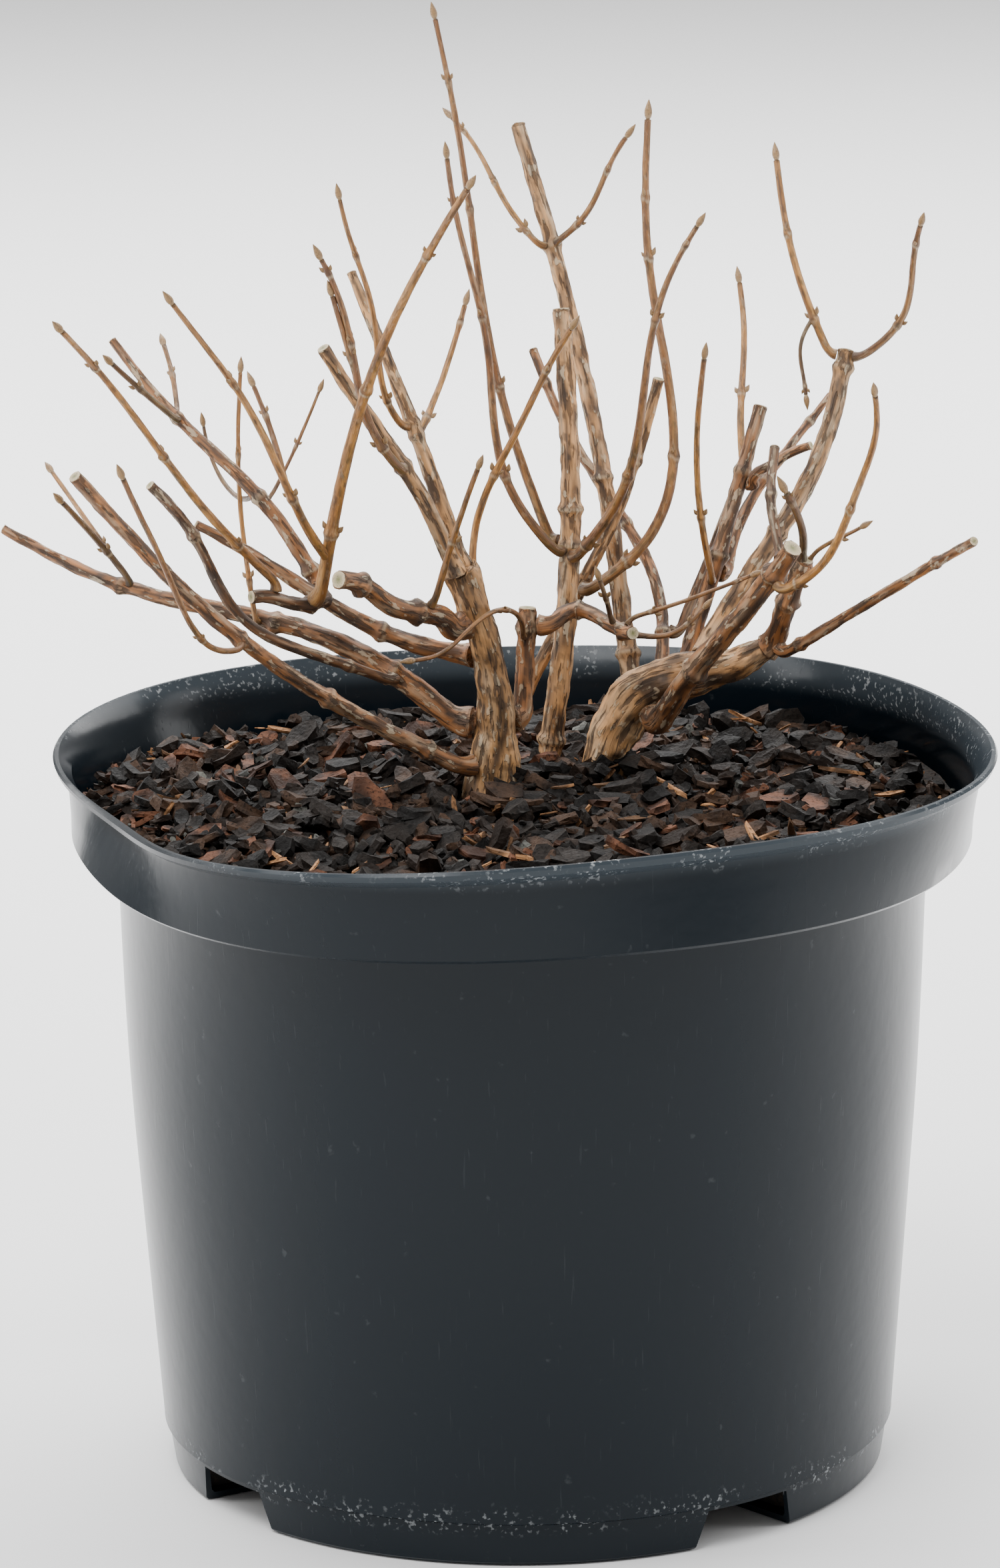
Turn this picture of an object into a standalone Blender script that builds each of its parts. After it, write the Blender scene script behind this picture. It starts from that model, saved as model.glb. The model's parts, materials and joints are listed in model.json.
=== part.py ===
"""A pruned flowering shrub in winter, bare of leaves, in a round nursery pot topped with bark.

Every size is in millimetres, and MM turns it into metres. The front of the pot faces -Y, and the origin is
the middle of its underside. A limb starts on the ground or on another limb. Its line runs straight from foot
to tip, bent by up to three waves: bow (half a wave), sway (a whole wave) and curl (a wave and a half).
"""

import math
import random
from collections import namedtuple

import bmesh
import bpy
from mathutils import Vector, noise

MM = 0.001
GAP = 0.3
SIDE_GAP = 2.0
PLANT = "potted_winter_shrub"

# Pot: a thin wall that steps out to a band, then flares to a lip
POT_HEIGHT = 229.0
POT_STEPS = 40
LIP_RADIUS = 150.0
LIP_WIDTH = 2.4
BAND_RADIUS = 146.0
BAND_DROOP = 1.0
BAND_HEIGHT = 29.5
BODY_RADIUS = 130.6
SEAM_RADIUS = 117.2
SEAM_HEIGHT = 14.6
FOOT_RADIUS = 114.0
WALL = 1.8
FLOOR = 2.2

# The mouth has sprung out of round and out of level: (cosine, sine) of 1, 2, 3 and 4 waves round it
MOUTH_OUT = ((-0.4, -0.6), (2.8, 4.0), (4.8, -3.4), (-2.2, -6.4))
MOUTH_UP = ((-2.4, 6.0), (2.0, 0.7), (1.0, -1.6))
BAND_OUT = ((0.0, 0.0), (-0.2, -1.4), (5.6, -0.4), (-2.9, -0.8))
BAND_UP = ((-0.3, -0.2), (-0.5, -0.4), (0.7, 1.2))
ROUND_BELOW = 105.0

# Four channels cross under the base, with a drain in the roof of each
CHANNEL_HEADINGS = (36.0, 126.0, 216.0, 306.0)
CHANNEL_HEIGHT = 12.5
CHANNEL_WIDTH = (42.0, 20.0)
CHANNEL_SLANT = 4.0
CHANNEL_REACH = (38.0, 130.0)
RIDGE_REACH = (38.0, 113.1)
RIDGE_WALL = 2.2
DRAIN_RADIUS = 4.5
DRAIN_REACH = 92.0

# Compost with bark on it: level where the stems stand, and lower and uneven towards the wall
GROUND = 211.0
PATCH_CENTRE = (9.0, 34.0)
PATCH_RADIUS = 40.0
BARK_EDGE = 207.0
BARK_BUMP = 2.6
BARK_RINGS = (44.0, 62.0, 82.0, 102.0, 122.0, 134.0)

# Canes
SEGMENT = 11.0
THICK = 3.3
THIN = 1.3
JOINT_HALF = 2.4
JOINT_SWELL = 1.3
BUD_OUT = 0.35
TIP_BUD = ((-7.0, 1.0), (-5.2, 1.35), (-4.2, 0.9), (-2.4, 1.3), (0.0, 0.2))
FLARE = ((0.0, 1.2), (3.5, 1.06))
SPUR_LENGTH = (3.2, 4.6)
SPUR_CHANCE = 0.3
SPUR_ROOM = 1.2
KNEE = 0.7

PALE = (0.50, 0.36, 0.22)
BROWN = (0.30, 0.17, 0.085)
GOLD = (0.46, 0.27, 0.10)
DARK = (0.14, 0.085, 0.05)

Limb = namedtuple("Limb", "name parent at tip bow sway curl girth joints swell fused colour out")
NONE = (0, 0, 0)


def limb(name, parent, at, tip, bow, girth, sway=NONE, curl=NONE, joints=(), swell=0.0, fused=False,
         colour=BROWN, out=None):
    return Limb(name, parent, at, tip, bow, sway, curl, girth, joints, swell, fused, colour, out)


# Stems that stand on the ground: here at is the foot
STEMS = (
    limb("stump_left", None, (-9, 16), (-18, 5, 287), (5, 0, 0), (9.0, 5.6), swell=-1.8, colour=PALE),
    limb("stump_right", None, (27, 40), (79, 22, 257), (-7, 3, 7), (7.0, 3.8), sway=(-2, 0, 2), curl=(0, 0, -1),
         swell=2.4, colour=PALE),
    limb("stem_centre", None, (9, 43), (15, 62, 360), (5, -5, 0), (3.9, 2.9), joints=(0.06, 0.49, 0.57),
         colour=PALE),
    limb("stem_leaning", None, (-9, 50), (46, 56, 338), (4, 4, -2), (2.5, 1.9), sway=(-1, 0, 1),
         joints=(0.48, 0.8), colour=PALE),
)

# Woody canes, each cut off at its tip
BOUGHS = (
    limb("bough_left_low", "stump_left", 0.29, (-165, 55, 292), (3, -6, 5), (3.9, 1.6),
         sway=(2, -1, 5), joints=(0.16, 0.42, 0.74)),
    limb("bough_left_front", "stump_left", 0.12, (-133, -66, 331), (-7, 1, -7), (2.8, 2.1),
         joints=(0.08, 0.31, 0.53), colour=BROWN, out=(-9, -7, 0)),
    limb("bough_left_dark", "bough_left_low", 0.15, (-113, -22, 320), (-8, -1, -9), (1.7, 1.7),
         sway=(-1, -1, -1), curl=(2, 0, 1), joints=(0.15, 0.8), colour=DARK, out=(-3, -12, 0)),
    limb("bough_left_broken", "stump_left", 0.6, (-101, 12, 301), (-1, 0, -4), (3.2, 1.5),
         sway=(0, 0, -2), joints=(0.3,), out=(-6, 5, 0)),
    limb("bough_left_cut", "stump_left", 0.78, (-55, -34, 292), (1, 3, 0), (3.6, 2.9),
         sway=(1, 1, 0), curl=(1, 1, 1), joints=(0.37, 0.82)),
    limb("bough_left_upper", "bough_left_broken", 0.54, (-128, 48, 354), (2, -4, 2), (2.6, 1.4),
         sway=(2, -1, 1), joints=(0.06, 0.34, 0.68), out=(1, 5, 1)),
    limb("bough_pale_tall", "stump_left", 1.0, (-51, 26, 378), (1, -5, 2), (2.9, 1.6),
         joints=(0.42, 0.46), colour=PALE, out=(0.6, 3.3, 0)),
    limb("bough_brown_tall", "stump_left", 1.0, (-59, -16, 361), (2, 1, 1), (2.8, 2.1),
         sway=(1, 0, 0), joints=(0.45,), colour=PALE, out=(-1.6, -3.1, 0)),
    limb("bough_dark_stub", "bough_left_broken", 0.52, (-83, -10, 282), (0, -1, -1), (2.4, 2.1),
         sway=(0, 0, -1), joints=(0.2,), colour=DARK, out=(0, -4, 1)),
    limb("bough_cross_upright", "stump_left", 0.28, (3, 26, 270), (0, 1, -3), (3.4, 2.9),
         joints=(0.85,), out=(7, 7, 0)),
    limb("bough_cross_knuckle", "bough_cross_upright", 0.88, (36, 4, 266), (2, 11, 2), (2.7, 2.1),
         sway=(-1, 3, 2), joints=(0.32, 0.8), out=(3, -1, 0)),
    limb("bough_centre_tall", "stump_right", 0.34, (2, 120, 412), (5, 2, 0), (3.2, 2.4),
         joints=(0.05, 0.36, 0.78), colour=PALE, out=(-1, 7, 2)),
    limb("bough_back", "stump_right", 0.47, (6, 112, 339), (8, 8, -4), (2.2, 1.5), sway=(4, 0, 0),
         joints=(0.12, 0.47, 0.9), out=(1, 12, 3)),
    limb("bough_right_front", "stump_right", 0.43, (85, -24, 298), (-1, -1, 0), (3.8, 3.2),
         sway=(-1, 0, 0), joints=(0.33, 0.86), out=(3, -9, -8)),
    limb("bough_right_tall", "stump_right", 0.68, (107, 76, 343), (6, -3, -2), (3.2, 2.8),
         sway=(-1, 0, 1), joints=(0.4, 0.95), colour=PALE, out=(3, 4, 4)),
    limb("bough_right_middle", "stump_right", 0.57, (79, 66, 327), (0, -1, -1), (3.0, 2.3),
         joints=(0.44, 0.76), out=(0, 8, 0)),
    limb("bough_right_spur", "bough_right_middle", 0.72, (94, 44, 318), (-4, 0, 1), (1.8, 1.4),
         sway=(-1, 0, 0), curl=(-1, 0, 0), out=(3, -1, -1)),
    limb("bough_right_back", "bough_right_middle", 0.38, (103, 98, 325), (-5, 3, 0), (2.3, 1.1),
         sway=(-1, 0, 0), joints=(0.52, 0.85), out=(5, 6, -4)),
    limb("bough_right_dead", "bough_back", 0.13, (70, 72, 298), (0, 0, -1), (1.8, 1.2), colour=DARK,
         out=(5, 2, -2)),
    limb("bough_right_knob", "stump_right", 1.0, (90, 4, 289), (-1, -2, -1), (3.6, 3.0),
         joints=(0.55, 0.92)),
    limb("bough_right_low", "bough_right_knob", 0.08, (139, -52, 305), (3, 5, 1), (1.9, 1.5),
         joints=(0.08, 0.78), out=(1, -2, -2)),
    limb("bough_right_stub", "bough_right_front", 0.9, (81, 8, 324), (-2, 0, 0), (1.6, 1.6),
         joints=(0.55,), colour=DARK, out=(1, 5, 4)),
)

# One-year shoots, each ending in a bud: at marks the joint of the bough that each grew from
SHOOTS = (
    limb("shoots_crown_top", "stem_centre", 0.5, (-25, 58, 459), (-4, 0, -1), (1.6, 0.8),
         sway=(-2, 0, -1), joints=(0.3, 0.62, 0.85), out=(-5, 3, 0)),
    limb("shoots_crown_left", "stem_centre", 0.48, (-21, 28, 419), (-6, -1, -3), (1.6, 0.8),
         sway=(-3, -1, -1), curl=(-2, 0, -1), joints=(0.22, 0.59, 0.86), out=(-6, -7, 1)),
    limb("shoots_crown_right", "stem_centre", 0.47, (59, -14, 401), (1, -3, -2), (1.8, 0.8),
         sway=(4, -1, -3), joints=(0.05, 0.29, 0.69, 0.9), out=(3, -9, 1)),
    limb("shoots_tall_left", "bough_centre_tall", 0.78, (-23, 128, 417), (0, -2, 1), (1.1, 0.7),
         sway=(-1, 0, -1), joints=(0.12, 0.45, 0.8), colour=GOLD, out=(-2, -2, 0)),
    limb("shoots_tall_right", "bough_centre_tall", 0.78, (40, 92, 415), (1, -1, -1), (1.1, 0.8),
         sway=(1, 0, -1), joints=(0.18, 0.62), out=(3, -6, 3)),
    limb("shoots_centre_back", "stem_leaning", 0.47, (44, 80, 424), (16, -6, -7), (1.9, 1.1),
         sway=(8, 0, -4), curl=(1, 0, -2), joints=(0.1, 0.34, 0.7, 0.82), out=(2, -5, 0)),
    limb("shoots_pale_left", "bough_pale_tall", 0.46, (-54, -18, 413), (0, -4, -3), (1.2, 0.7),
         sway=(-1, 0, -1), curl=(-1, 0, -1), joints=(0.16, 0.73), colour=GOLD, out=(-5, -8, 0)),
    limb("shoots_pale_right", "bough_pale_tall", 0.42, (-14, 46, 370), (0, 2, -4), (1.2, 0.8),
         joints=(0.14, 0.8), colour=GOLD, out=(1, 8, -1)),
    limb("shoots_brown_pair", "bough_brown_tall", 0.46, (-61, -30, 395), (-1, -2, -2), (1.6, 0.8),
         sway=(-2, -1, -2), joints=(0.15, 0.59, 0.87), out=(0, -10, -1)),
    limb("brown_pair_twig", "shoots_brown_pair", 0.44, (-57, -27, 384), (0, 0, 0), (1.1, 0.7),
         joints=(0.25,), fused=True),
    limb("shoots_front_crossing", "bough_dark_stub", 0.2, (-11, -78, 422), (-7, 8, 5), (2.2, 1.0),
         joints=(0.135, 0.455, 0.79), colour=GOLD, out=(4, -2, 3)),
    limb("front_crossing_fork",
         "shoots_front_crossing", 0.08, (-106, -52, 385), (4, -2, -1), (1.6, 0.8), sway=(0, -2, -2),
         curl=(0, -1, -1), joints=(0.275, 0.65), fused=True, colour=GOLD),
    limb("front_crossing_twig", "front_crossing_fork", 0.32, (-83, -8, 353), (1, 1, 0), (1.1, 0.7),
         joints=(0.6,), fused=True),
    limb("shoots_left_long", "bough_dark_stub", 0.68, (-137, -84, 381), (-2, 3, 0), (1.5, 0.9),
         sway=(-1, 0, -1), joints=(0.16, 0.49, 0.82), colour=GOLD, out=(0, 0, 4)),
    limb("shoots_left_yellow", "bough_left_low", 0.45, (-87, 46, 349), (-3, 0, 0), (0.9, 0.7),
         joints=(0.16, 0.63), colour=GOLD, out=(-2, -6, -1)),
    limb("shoots_upper_left", "bough_left_upper", 0.67, (-129, 14, 355), (-1, 2, 0), (1.0, 0.8),
         joints=(0.45,), colour=DARK, out=(-1, -4, 1)),
    limb("shoots_upper_right", "bough_left_upper", 0.7, (-114, 68, 353), (1, 0, 0), (0.9, 0.8),
         joints=(0.47,), out=(2, 6, -1)),
    limb("shoots_upper_curl", "bough_left_upper", 0.36, (-101, 64, 328), (-2, 11, -11), (1.0, 0.5),
         sway=(1, -1, -1), colour=DARK, out=(-1, 6, -3)),
    limb("shoots_upper_thin", "bough_left_upper", 0.32, (-60, 38, 344), (0, 2, -2), (0.7, 0.45),
         joints=(0.45,), out=(4, 5, 1)),
    limb("shoots_low_left", "bough_left_front", 0.53, (-119, -88, 339), (-3, -4, -8), (1.0, 0.9),
         sway=(-1, -1, -3), curl=(0, 0, -2), joints=(0.25,), out=(2, -9, -5)),
    limb("shoots_far_left", "bough_left_low", 0.72, (-146, 16, 311), (0, 3, 0), (1.1, 0.9),
         joints=(0.3,), colour=DARK),
    limb("far_left_twig", "shoots_far_left", 0.17, (-152, 62, 313), (0, -3, 1), (0.9, 0.7),
         joints=(0.16,), fused=True, colour=GOLD),
    limb("shoots_cut_bough_front", "bough_left_cut", 0.31, (-10, -30, 330), (-1, 1, -1), (1.2, 0.8),
         joints=(0.42,), colour=GOLD, out=(4, -2, 5)),
    limb("shoots_cut_bough_back", "stump_left", 0.84, (20, -10, 369), (-6, 8, 3), (1.3, 1.0),
         sway=(-2, 1, 0), curl=(-1, 1, 0), joints=(0.39, 0.78), colour=GOLD, out=(1, 8, 0)),
    limb("shoots_trailing", "bough_cross_upright", 0.8, (-38, -14, 262), (8, -6, 10), (0.9, 0.65),
         sway=(1, 1, 4), curl=(1, 0, -1), joints=(0.33,), out=(-2, -9, 0)),
    limb("shoots_middle_left", "bough_right_middle", 0.34, (60, 16, 356), (-4, -1, -1), (1.2, 0.9),
         joints=(0.28,), colour=GOLD, out=(0, -4, 0)),
    limb("shoots_middle_back", "bough_right_middle", 0.78, (73, 108, 366), (1, 3, -2), (1.3, 0.9),
         sway=(-1, 0, 0), joints=(0.385,), colour=GOLD, out=(0, 4, -1)),
    limb("shoots_head_left", "bough_right_tall", 0.985, (85, 98, 408), (-3, -3, -2), (1.4, 1.0),
         joints=(0.18, 0.6), colour=GOLD, out=(-3, 0, 0)),
    limb("head_left_twig", "shoots_head_left", 0.19, (94, 70, 324), (-3, 0, 1), (0.7, 0.6),
         sway=(-1, 0, 0), joints=(0.75,), fused=True, colour=DARK),
    limb("shoots_head_right", "bough_right_tall", 0.985, (130, 44, 392), (6, 3, -2), (1.3, 0.9),
         sway=(2, 0, -1), joints=(0.27, 0.79), out=(5, -2, 0)),
    limb("shoots_right_front", "bough_right_front", 0.86, (107, -74, 358), (10, 3, -4), (1.5, 0.9),
         sway=(0, 0, -2), curl=(1, 0, -1), joints=(0.08, 0.45), colour=GOLD, out=(1, -3, -3)),
    limb("shoots_right_thin", "bough_right_knob", 1, (111, -4, 303), (-1, 0, 0), (0.75, 0.6),
         sway=(-1, 0, 0), joints=(0.5,), out=(2, 1, 0)),
    limb("shoots_knuckle_long", "bough_cross_knuckle", 0.84, (78, -6, 288), (-1, 0, -1), (0.8, 0.55),
         joints=(0.18, 0.8), out=(2, 1, 6)),
    limb("shoots_knuckle_low", "bough_cross_knuckle", 0.92, (63, 14, 277), (0, -1, -5), (1.0, 0.5),
         joints=(0.6,), out=(2, 2, -1)),
    limb("shoots_knuckle_dark", "bough_cross_knuckle", 0.7, (24, 2, 289), (1, -3, -2), (0.9, 0.7),
         joints=(0.5,), colour=DARK, out=(-2, -3, 6)),
    limb("shoots_right_dark", "bough_right_knob", 1, (81, -12, 318), (3, -3, -1), (1.4, 1.1),
         joints=(0.75,), colour=DARK, out=(-1, -1, 0)),
)


def clear_scene():
    for obj in list(bpy.data.objects):
        bpy.data.objects.remove(obj)


def collection(name):
    made = bpy.data.collections.new(name)
    bpy.context.scene.collection.children.link(made)
    return made


def finish(obj, colour, roughness, metallic=0.0):
    material = bpy.data.materials.new(obj.name)
    material.use_nodes = True
    surface = material.node_tree.nodes["Principled BSDF"]
    surface.inputs["Base Color"].default_value = (*colour, 1.0)
    surface.inputs["Roughness"].default_value = roughness
    surface.inputs["Metallic"].default_value = metallic
    obj.data.materials.clear()
    obj.data.materials.append(material)


def baked(obj, home):
    """A plain mesh object in home, of what obj looks like with its modifiers. It takes the place of obj."""
    bpy.context.view_layer.update()
    graph = bpy.context.evaluated_depsgraph_get()
    mesh = bpy.data.meshes.new_from_object(obj.evaluated_get(graph))
    work = bmesh.new()
    work.from_mesh(mesh)
    bmesh.ops.remove_doubles(work, verts=work.verts, dist=0.002 * MM)
    bmesh.ops.recalc_face_normals(work, faces=work.faces)
    work.to_mesh(mesh)
    work.free()
    name = obj.name
    place = obj.matrix_world.copy()
    bpy.data.objects.remove(obj)
    made = bpy.data.objects.new(name, mesh)
    made.matrix_world = place
    home.objects.link(made)
    return made


def boolean(obj, tool, operation):
    modifier = obj.modifiers.new(operation.lower(), "BOOLEAN")
    modifier.operation = operation
    modifier.solver = "EXACT"
    if isinstance(tool, bpy.types.Collection):
        modifier.operand_type = "COLLECTION"
        modifier.collection = tool
    else:
        modifier.object = tool


def joined(obj, pieces, operation, home):
    """obj after one Boolean with every object of the collection pieces, which are then removed."""
    if not pieces.objects:
        return obj
    boolean(obj, pieces, operation)
    made = baked(obj, home)
    for piece in list(pieces.objects):
        bpy.data.objects.remove(piece)
    return made


# Pot and bark


def waves(pairs, turn):
    return sum(
        a * math.cos(k * turn) + b * math.sin(k * turn) for k, (a, b) in enumerate(pairs, start=1)
    )


def sprung(radius, turn, height):
    """(radius, height) of a point of the pot or its filling, after the mouth has sprung out of round."""
    foot = POT_HEIGHT - BAND_HEIGHT
    low_out = waves(BAND_OUT, turn)
    low_up = waves(BAND_UP, turn)
    if height > foot:
        share = (height - foot) / BAND_HEIGHT
        out = low_out + (waves(MOUTH_OUT, turn) - low_out) * share
        lift = low_up + (waves(MOUTH_UP, turn) - low_up) * share
    else:
        share = max(0.0, (height - ROUND_BELOW) / (foot - ROUND_BELOW)) ** 2
        out = low_out * share
        lift = low_up * share
    near = min(1.0, radius / BODY_RADIUS)
    return radius + out * near**2, height + lift * near**8


def turned(name, profile, home):
    """A closed body from a profile that runs from the axis, over the outer side from top to bottom, to it."""
    mesh = bpy.data.meshes.new(name)
    points = [(radius * MM, 0.0, height * MM) for radius, height in profile]
    mesh.from_pydata(points, [(i, i + 1) for i in range(len(points) - 1)], [])
    obj = bpy.data.objects.new(name, mesh)
    home.objects.link(obj)
    screw = obj.modifiers.new("turn", "SCREW")
    screw.steps = screw.render_steps = POT_STEPS
    screw.use_merge_vertices = True
    screw.merge_threshold = 0.00001
    return baked(obj, home)


def spring_open(obj):
    for vertex in obj.data.vertices:
        x, y, z = (c / MM for c in vertex.co)
        radius, turn = math.hypot(x, y), math.atan2(x, -y)
        radius, z = sprung(radius, turn, z)
        vertex.co = (radius * math.sin(turn) * MM, -radius * math.cos(turn) * MM, z * MM)


def channel_block(name, heading, grow, reach, home):
    """A wedge along a channel under the base, narrower inwards and upwards, grown on every side by grow."""
    work = bmesh.new()
    bmesh.ops.create_cube(work, size=1.0)
    for vertex in work.verts:
        outer, side, top = vertex.co.x > 0, math.copysign(0.5, vertex.co.y), vertex.co.z > 0
        width = CHANNEL_WIDTH[0] if outer else CHANNEL_WIDTH[1]
        lean = CHANNEL_SLANT if top else 0.0
        height = CHANNEL_HEIGHT + grow if top else -1.0 if grow == 0 else FLOOR / 2
        vertex.co = (
            (reach[1] if outer else reach[0] - grow) * MM,
            side * (width + 2 * grow - 2 * lean) * MM,
            height * MM,
        )
    bmesh.ops.rotate(work, verts=work.verts, cent=(0, 0, 0),
                     matrix=Vector((0, -1, 0)).rotation_difference(heading_vector(heading)).to_matrix()
                     @ Vector((1, 0, 0)).rotation_difference(Vector((0, -1, 0))).to_matrix())
    mesh = bpy.data.meshes.new(name)
    work.to_mesh(mesh)
    work.free()
    obj = bpy.data.objects.new(name, mesh)
    home.objects.link(obj)
    return obj


def heading_vector(degrees):
    """Level unit vector, counted from the front towards the right."""
    turn = math.radians(degrees)
    return Vector((math.sin(turn), -math.cos(turn), 0.0))


def drain(name, heading, home):
    centre = heading_vector(heading) * DRAIN_REACH * MM
    bpy.ops.mesh.primitive_cylinder_add(
        vertices=12,
        radius=DRAIN_RADIUS * MM,
        depth=3 * RIDGE_WALL * MM,
        location=(centre.x, centre.y, (CHANNEL_HEIGHT + RIDGE_WALL / 2) * MM),
    )
    obj = bpy.context.object
    obj.name = name
    for owner in obj.users_collection:
        owner.objects.unlink(obj)
    home.objects.link(obj)
    return obj


def pot_profile():
    band_foot = POT_HEIGHT - BAND_HEIGHT
    lip_inner = LIP_RADIUS - LIP_WIDTH
    band_low = BAND_RADIUS - BAND_DROOP
    floor_radius = FOOT_RADIUS - WALL
    return [
        (0.0, FLOOR),
        (floor_radius - 1.0, FLOOR),
        (floor_radius + 0.2, FLOOR + 1.2),
        (SEAM_RADIUS - WALL - 0.6, SEAM_HEIGHT),
        (BODY_RADIUS - WALL, band_foot - 1.0),
        (BODY_RADIUS - WALL + 1.6, band_foot + WALL),
        (band_low - WALL - 1.2, band_foot + WALL),
        (band_low - WALL, band_foot + WALL + 1.2),
        (BAND_RADIUS - WALL, POT_HEIGHT - 6.0),
        (lip_inner - 0.4, POT_HEIGHT - 1.2),
        (lip_inner + 0.4, POT_HEIGHT),
        (LIP_RADIUS - 0.7, POT_HEIGHT),
        (LIP_RADIUS, POT_HEIGHT - 0.8),
        (LIP_RADIUS - 0.4, POT_HEIGHT - 2.6),
        (BAND_RADIUS + 0.2, POT_HEIGHT - 5.0),
        (BAND_RADIUS, POT_HEIGHT - 7.0),
        (band_low, band_foot + 0.9),
        (band_low - 0.9, band_foot),
        (BODY_RADIUS + 0.9, band_foot),
        (BODY_RADIUS, band_foot - 0.9),
        (SEAM_RADIUS, SEAM_HEIGHT + 0.9),
        (SEAM_RADIUS, SEAM_HEIGHT - 0.2),
        (SEAM_RADIUS - 1.2, SEAM_HEIGHT - 1.0),
        (FOOT_RADIUS, 0.9),
        (FOOT_RADIUS - 0.9, 0.0),
        (0.0, 0.0),
    ]


def build_pot(home, cutters):
    pot = turned("pot", pot_profile(), home)
    spring_open(pot)
    ridges = collection("ridges")
    for heading in CHANNEL_HEADINGS:
        channel_block(f"ridge_{heading:.0f}", heading, RIDGE_WALL, RIDGE_REACH, ridges)
    pot = joined(pot, ridges, "UNION", home)
    bpy.data.collections.remove(ridges)
    cuts = collection("cuts")
    for heading in CHANNEL_HEADINGS:
        channel_block(f"channel_{heading:.0f}", heading, 0.0, CHANNEL_REACH, cuts)
        drain(f"drain_{heading:.0f}", heading, cuts)
    pot = joined(pot, cuts, "DIFFERENCE", home)
    bpy.data.collections.remove(cuts)
    pot.data.shade_smooth()
    pot.data.set_sharp_from_angle(angle=math.radians(35))
    finish(pot, (0.018, 0.024, 0.030), 0.28)
    return pot


def bark_height(x, y):
    """Height of the bark: level under the stems, then uneven and falling towards the wall."""
    away = math.hypot(x - PATCH_CENTRE[0], y - PATCH_CENTRE[1])
    far = max(0.0, min(1.0, (away - PATCH_RADIUS) / (BAND_RADIUS - PATCH_RADIUS)))
    bump = noise.noise(Vector((x, y, 7.0)) / 31.0) * BARK_BUMP * min(1.0, far * 5, 1.4 - far)
    return GROUND - GAP + (BARK_EDGE - GROUND) * far + bump


def build_bark(home):
    band_foot = POT_HEIGHT - BAND_HEIGHT
    wall_radius = BAND_RADIUS - BAND_DROOP - WALL - SIDE_GAP
    profile = [(0.0, GROUND)]
    profile += [(ring, GROUND) for ring in (22.0, *BARK_RINGS)]
    profile += [
        (wall_radius - 0.1, GROUND),
        (wall_radius, band_foot + WALL + 1.5),
        (wall_radius - 1.3, band_foot + WALL + GAP),
        (BODY_RADIUS - WALL + 0.6, band_foot + WALL + GAP),
        (BODY_RADIUS - WALL - 2 * SIDE_GAP, band_foot - 1.0),
        (SEAM_RADIUS - WALL - 2 * SIDE_GAP, SEAM_HEIGHT),
        (FOOT_RADIUS - WALL - GAP, FLOOR + GAP + 1.2),
        (FOOT_RADIUS - WALL - GAP - 1.2, FLOOR + GAP),
        (0.0, FLOOR + GAP),
    ]
    bark = turned("bark_mulch", profile, home)
    for vertex in bark.data.vertices:
        if vertex.co.z > (GROUND - 0.1) * MM:
            vertex.co.z = bark_height(vertex.co.x / MM, vertex.co.y / MM) * MM
    spring_open(bark)
    ridges = collection("ridges")
    for heading in CHANNEL_HEADINGS:
        channel_block(f"groove_{heading:.0f}", heading, RIDGE_WALL + GAP, RIDGE_REACH, ridges)
    bark = joined(bark, ridges, "DIFFERENCE", home)
    bpy.data.collections.remove(ridges)
    finish(bark, (0.030, 0.020, 0.014), 0.9)
    return bark


# Limbs


def lerp(a, b, share):
    return a + (b - a) * share


class Cane:
    """The centre line of a limb as it is meshed: points, radii, and how far along each point lies."""

    def __init__(self, spec, ends_in_bud):
        self.spec = spec
        self.bud = ends_in_bud
        self.points = []
        self.radii = []
        self.shares = []

    def bend(self, foot, share):
        spec = self.spec
        waves_here = [math.sin(k * math.pi * share) for k in (1, 2, 3)]
        point = foot.lerp(Vector(spec.tip), share)
        for bent, wave in zip((spec.bow, spec.sway, spec.curl), waves_here):
            point = point + Vector(bent) * wave
        return point

    def girth(self, share):
        spec = self.spec
        plain = lerp(spec.girth[0], spec.girth[1], share) + spec.swell * math.sin(math.pi * share)
        return plain

    def at(self, share):
        """(point, tangent, radius) on the meshed line."""
        for i in range(len(self.shares) - 1):
            if share <= self.shares[i + 1] or i == len(self.shares) - 2:
                break
        span = self.shares[i + 1] - self.shares[i]
        inside = min(1.0, max(0.0, (share - self.shares[i]) / span))
        point = self.points[i].lerp(self.points[i + 1], inside)
        tangent = (self.points[i + 1] - self.points[i]).normalized()
        return point, tangent, lerp(self.radii[i], self.radii[i + 1], inside)

    def bulge(self, share, aim, reach):
        """How far the surface comes out along aim from the axis at share, within reach of it."""
        axis, tangent, most = self.at(share)
        for step in range(-40, 41):
            point, _, radius = self.at(min(1.0, max(0.0, share + step / 200)))
            if abs((point - axis).dot(tangent)) < reach * 1.2:
                most = max(most, (point - axis).dot(aim) + radius)
        return most

    def add(self, point, radius, share):
        self.points.append(point)
        self.radii.append(radius)
        self.shares.append(share)

    def lay(self, foot):
        """Points from foot to tip: evenly spaced, closer at each joint, which swells, and at the end bud."""
        length = sum(
            (self.bend(foot, (i + 1) / 20) - self.bend(foot, i / 20)).length for i in range(20)
        )
        half = JOINT_HALF / length
        count = max(3, round(length / SEGMENT))
        end = 1.0 + TIP_BUD[0][0] / length if self.bud else 1.0
        stops = {end * i / count: 1.0 for i in range(1, count + 1)}
        for joint in self.spec.joints:
            stops = {s: f for s, f in stops.items() if abs(s - joint) > 1.6 * half or s == end}
            stops.update({joint - half: 1.0, joint: JOINT_SWELL, joint + half: 1.0})
        for share in sorted(s for s in stops if 0.0 < s <= end):
            self.add(self.bend(foot, share), self.girth(share) * stops[share], share)
        if self.bud:
            for back, swell in TIP_BUD[1:]:
                share = 1.0 + back / length
                self.add(self.bend(foot, share), self.girth(1.0) * swell, share)


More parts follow.
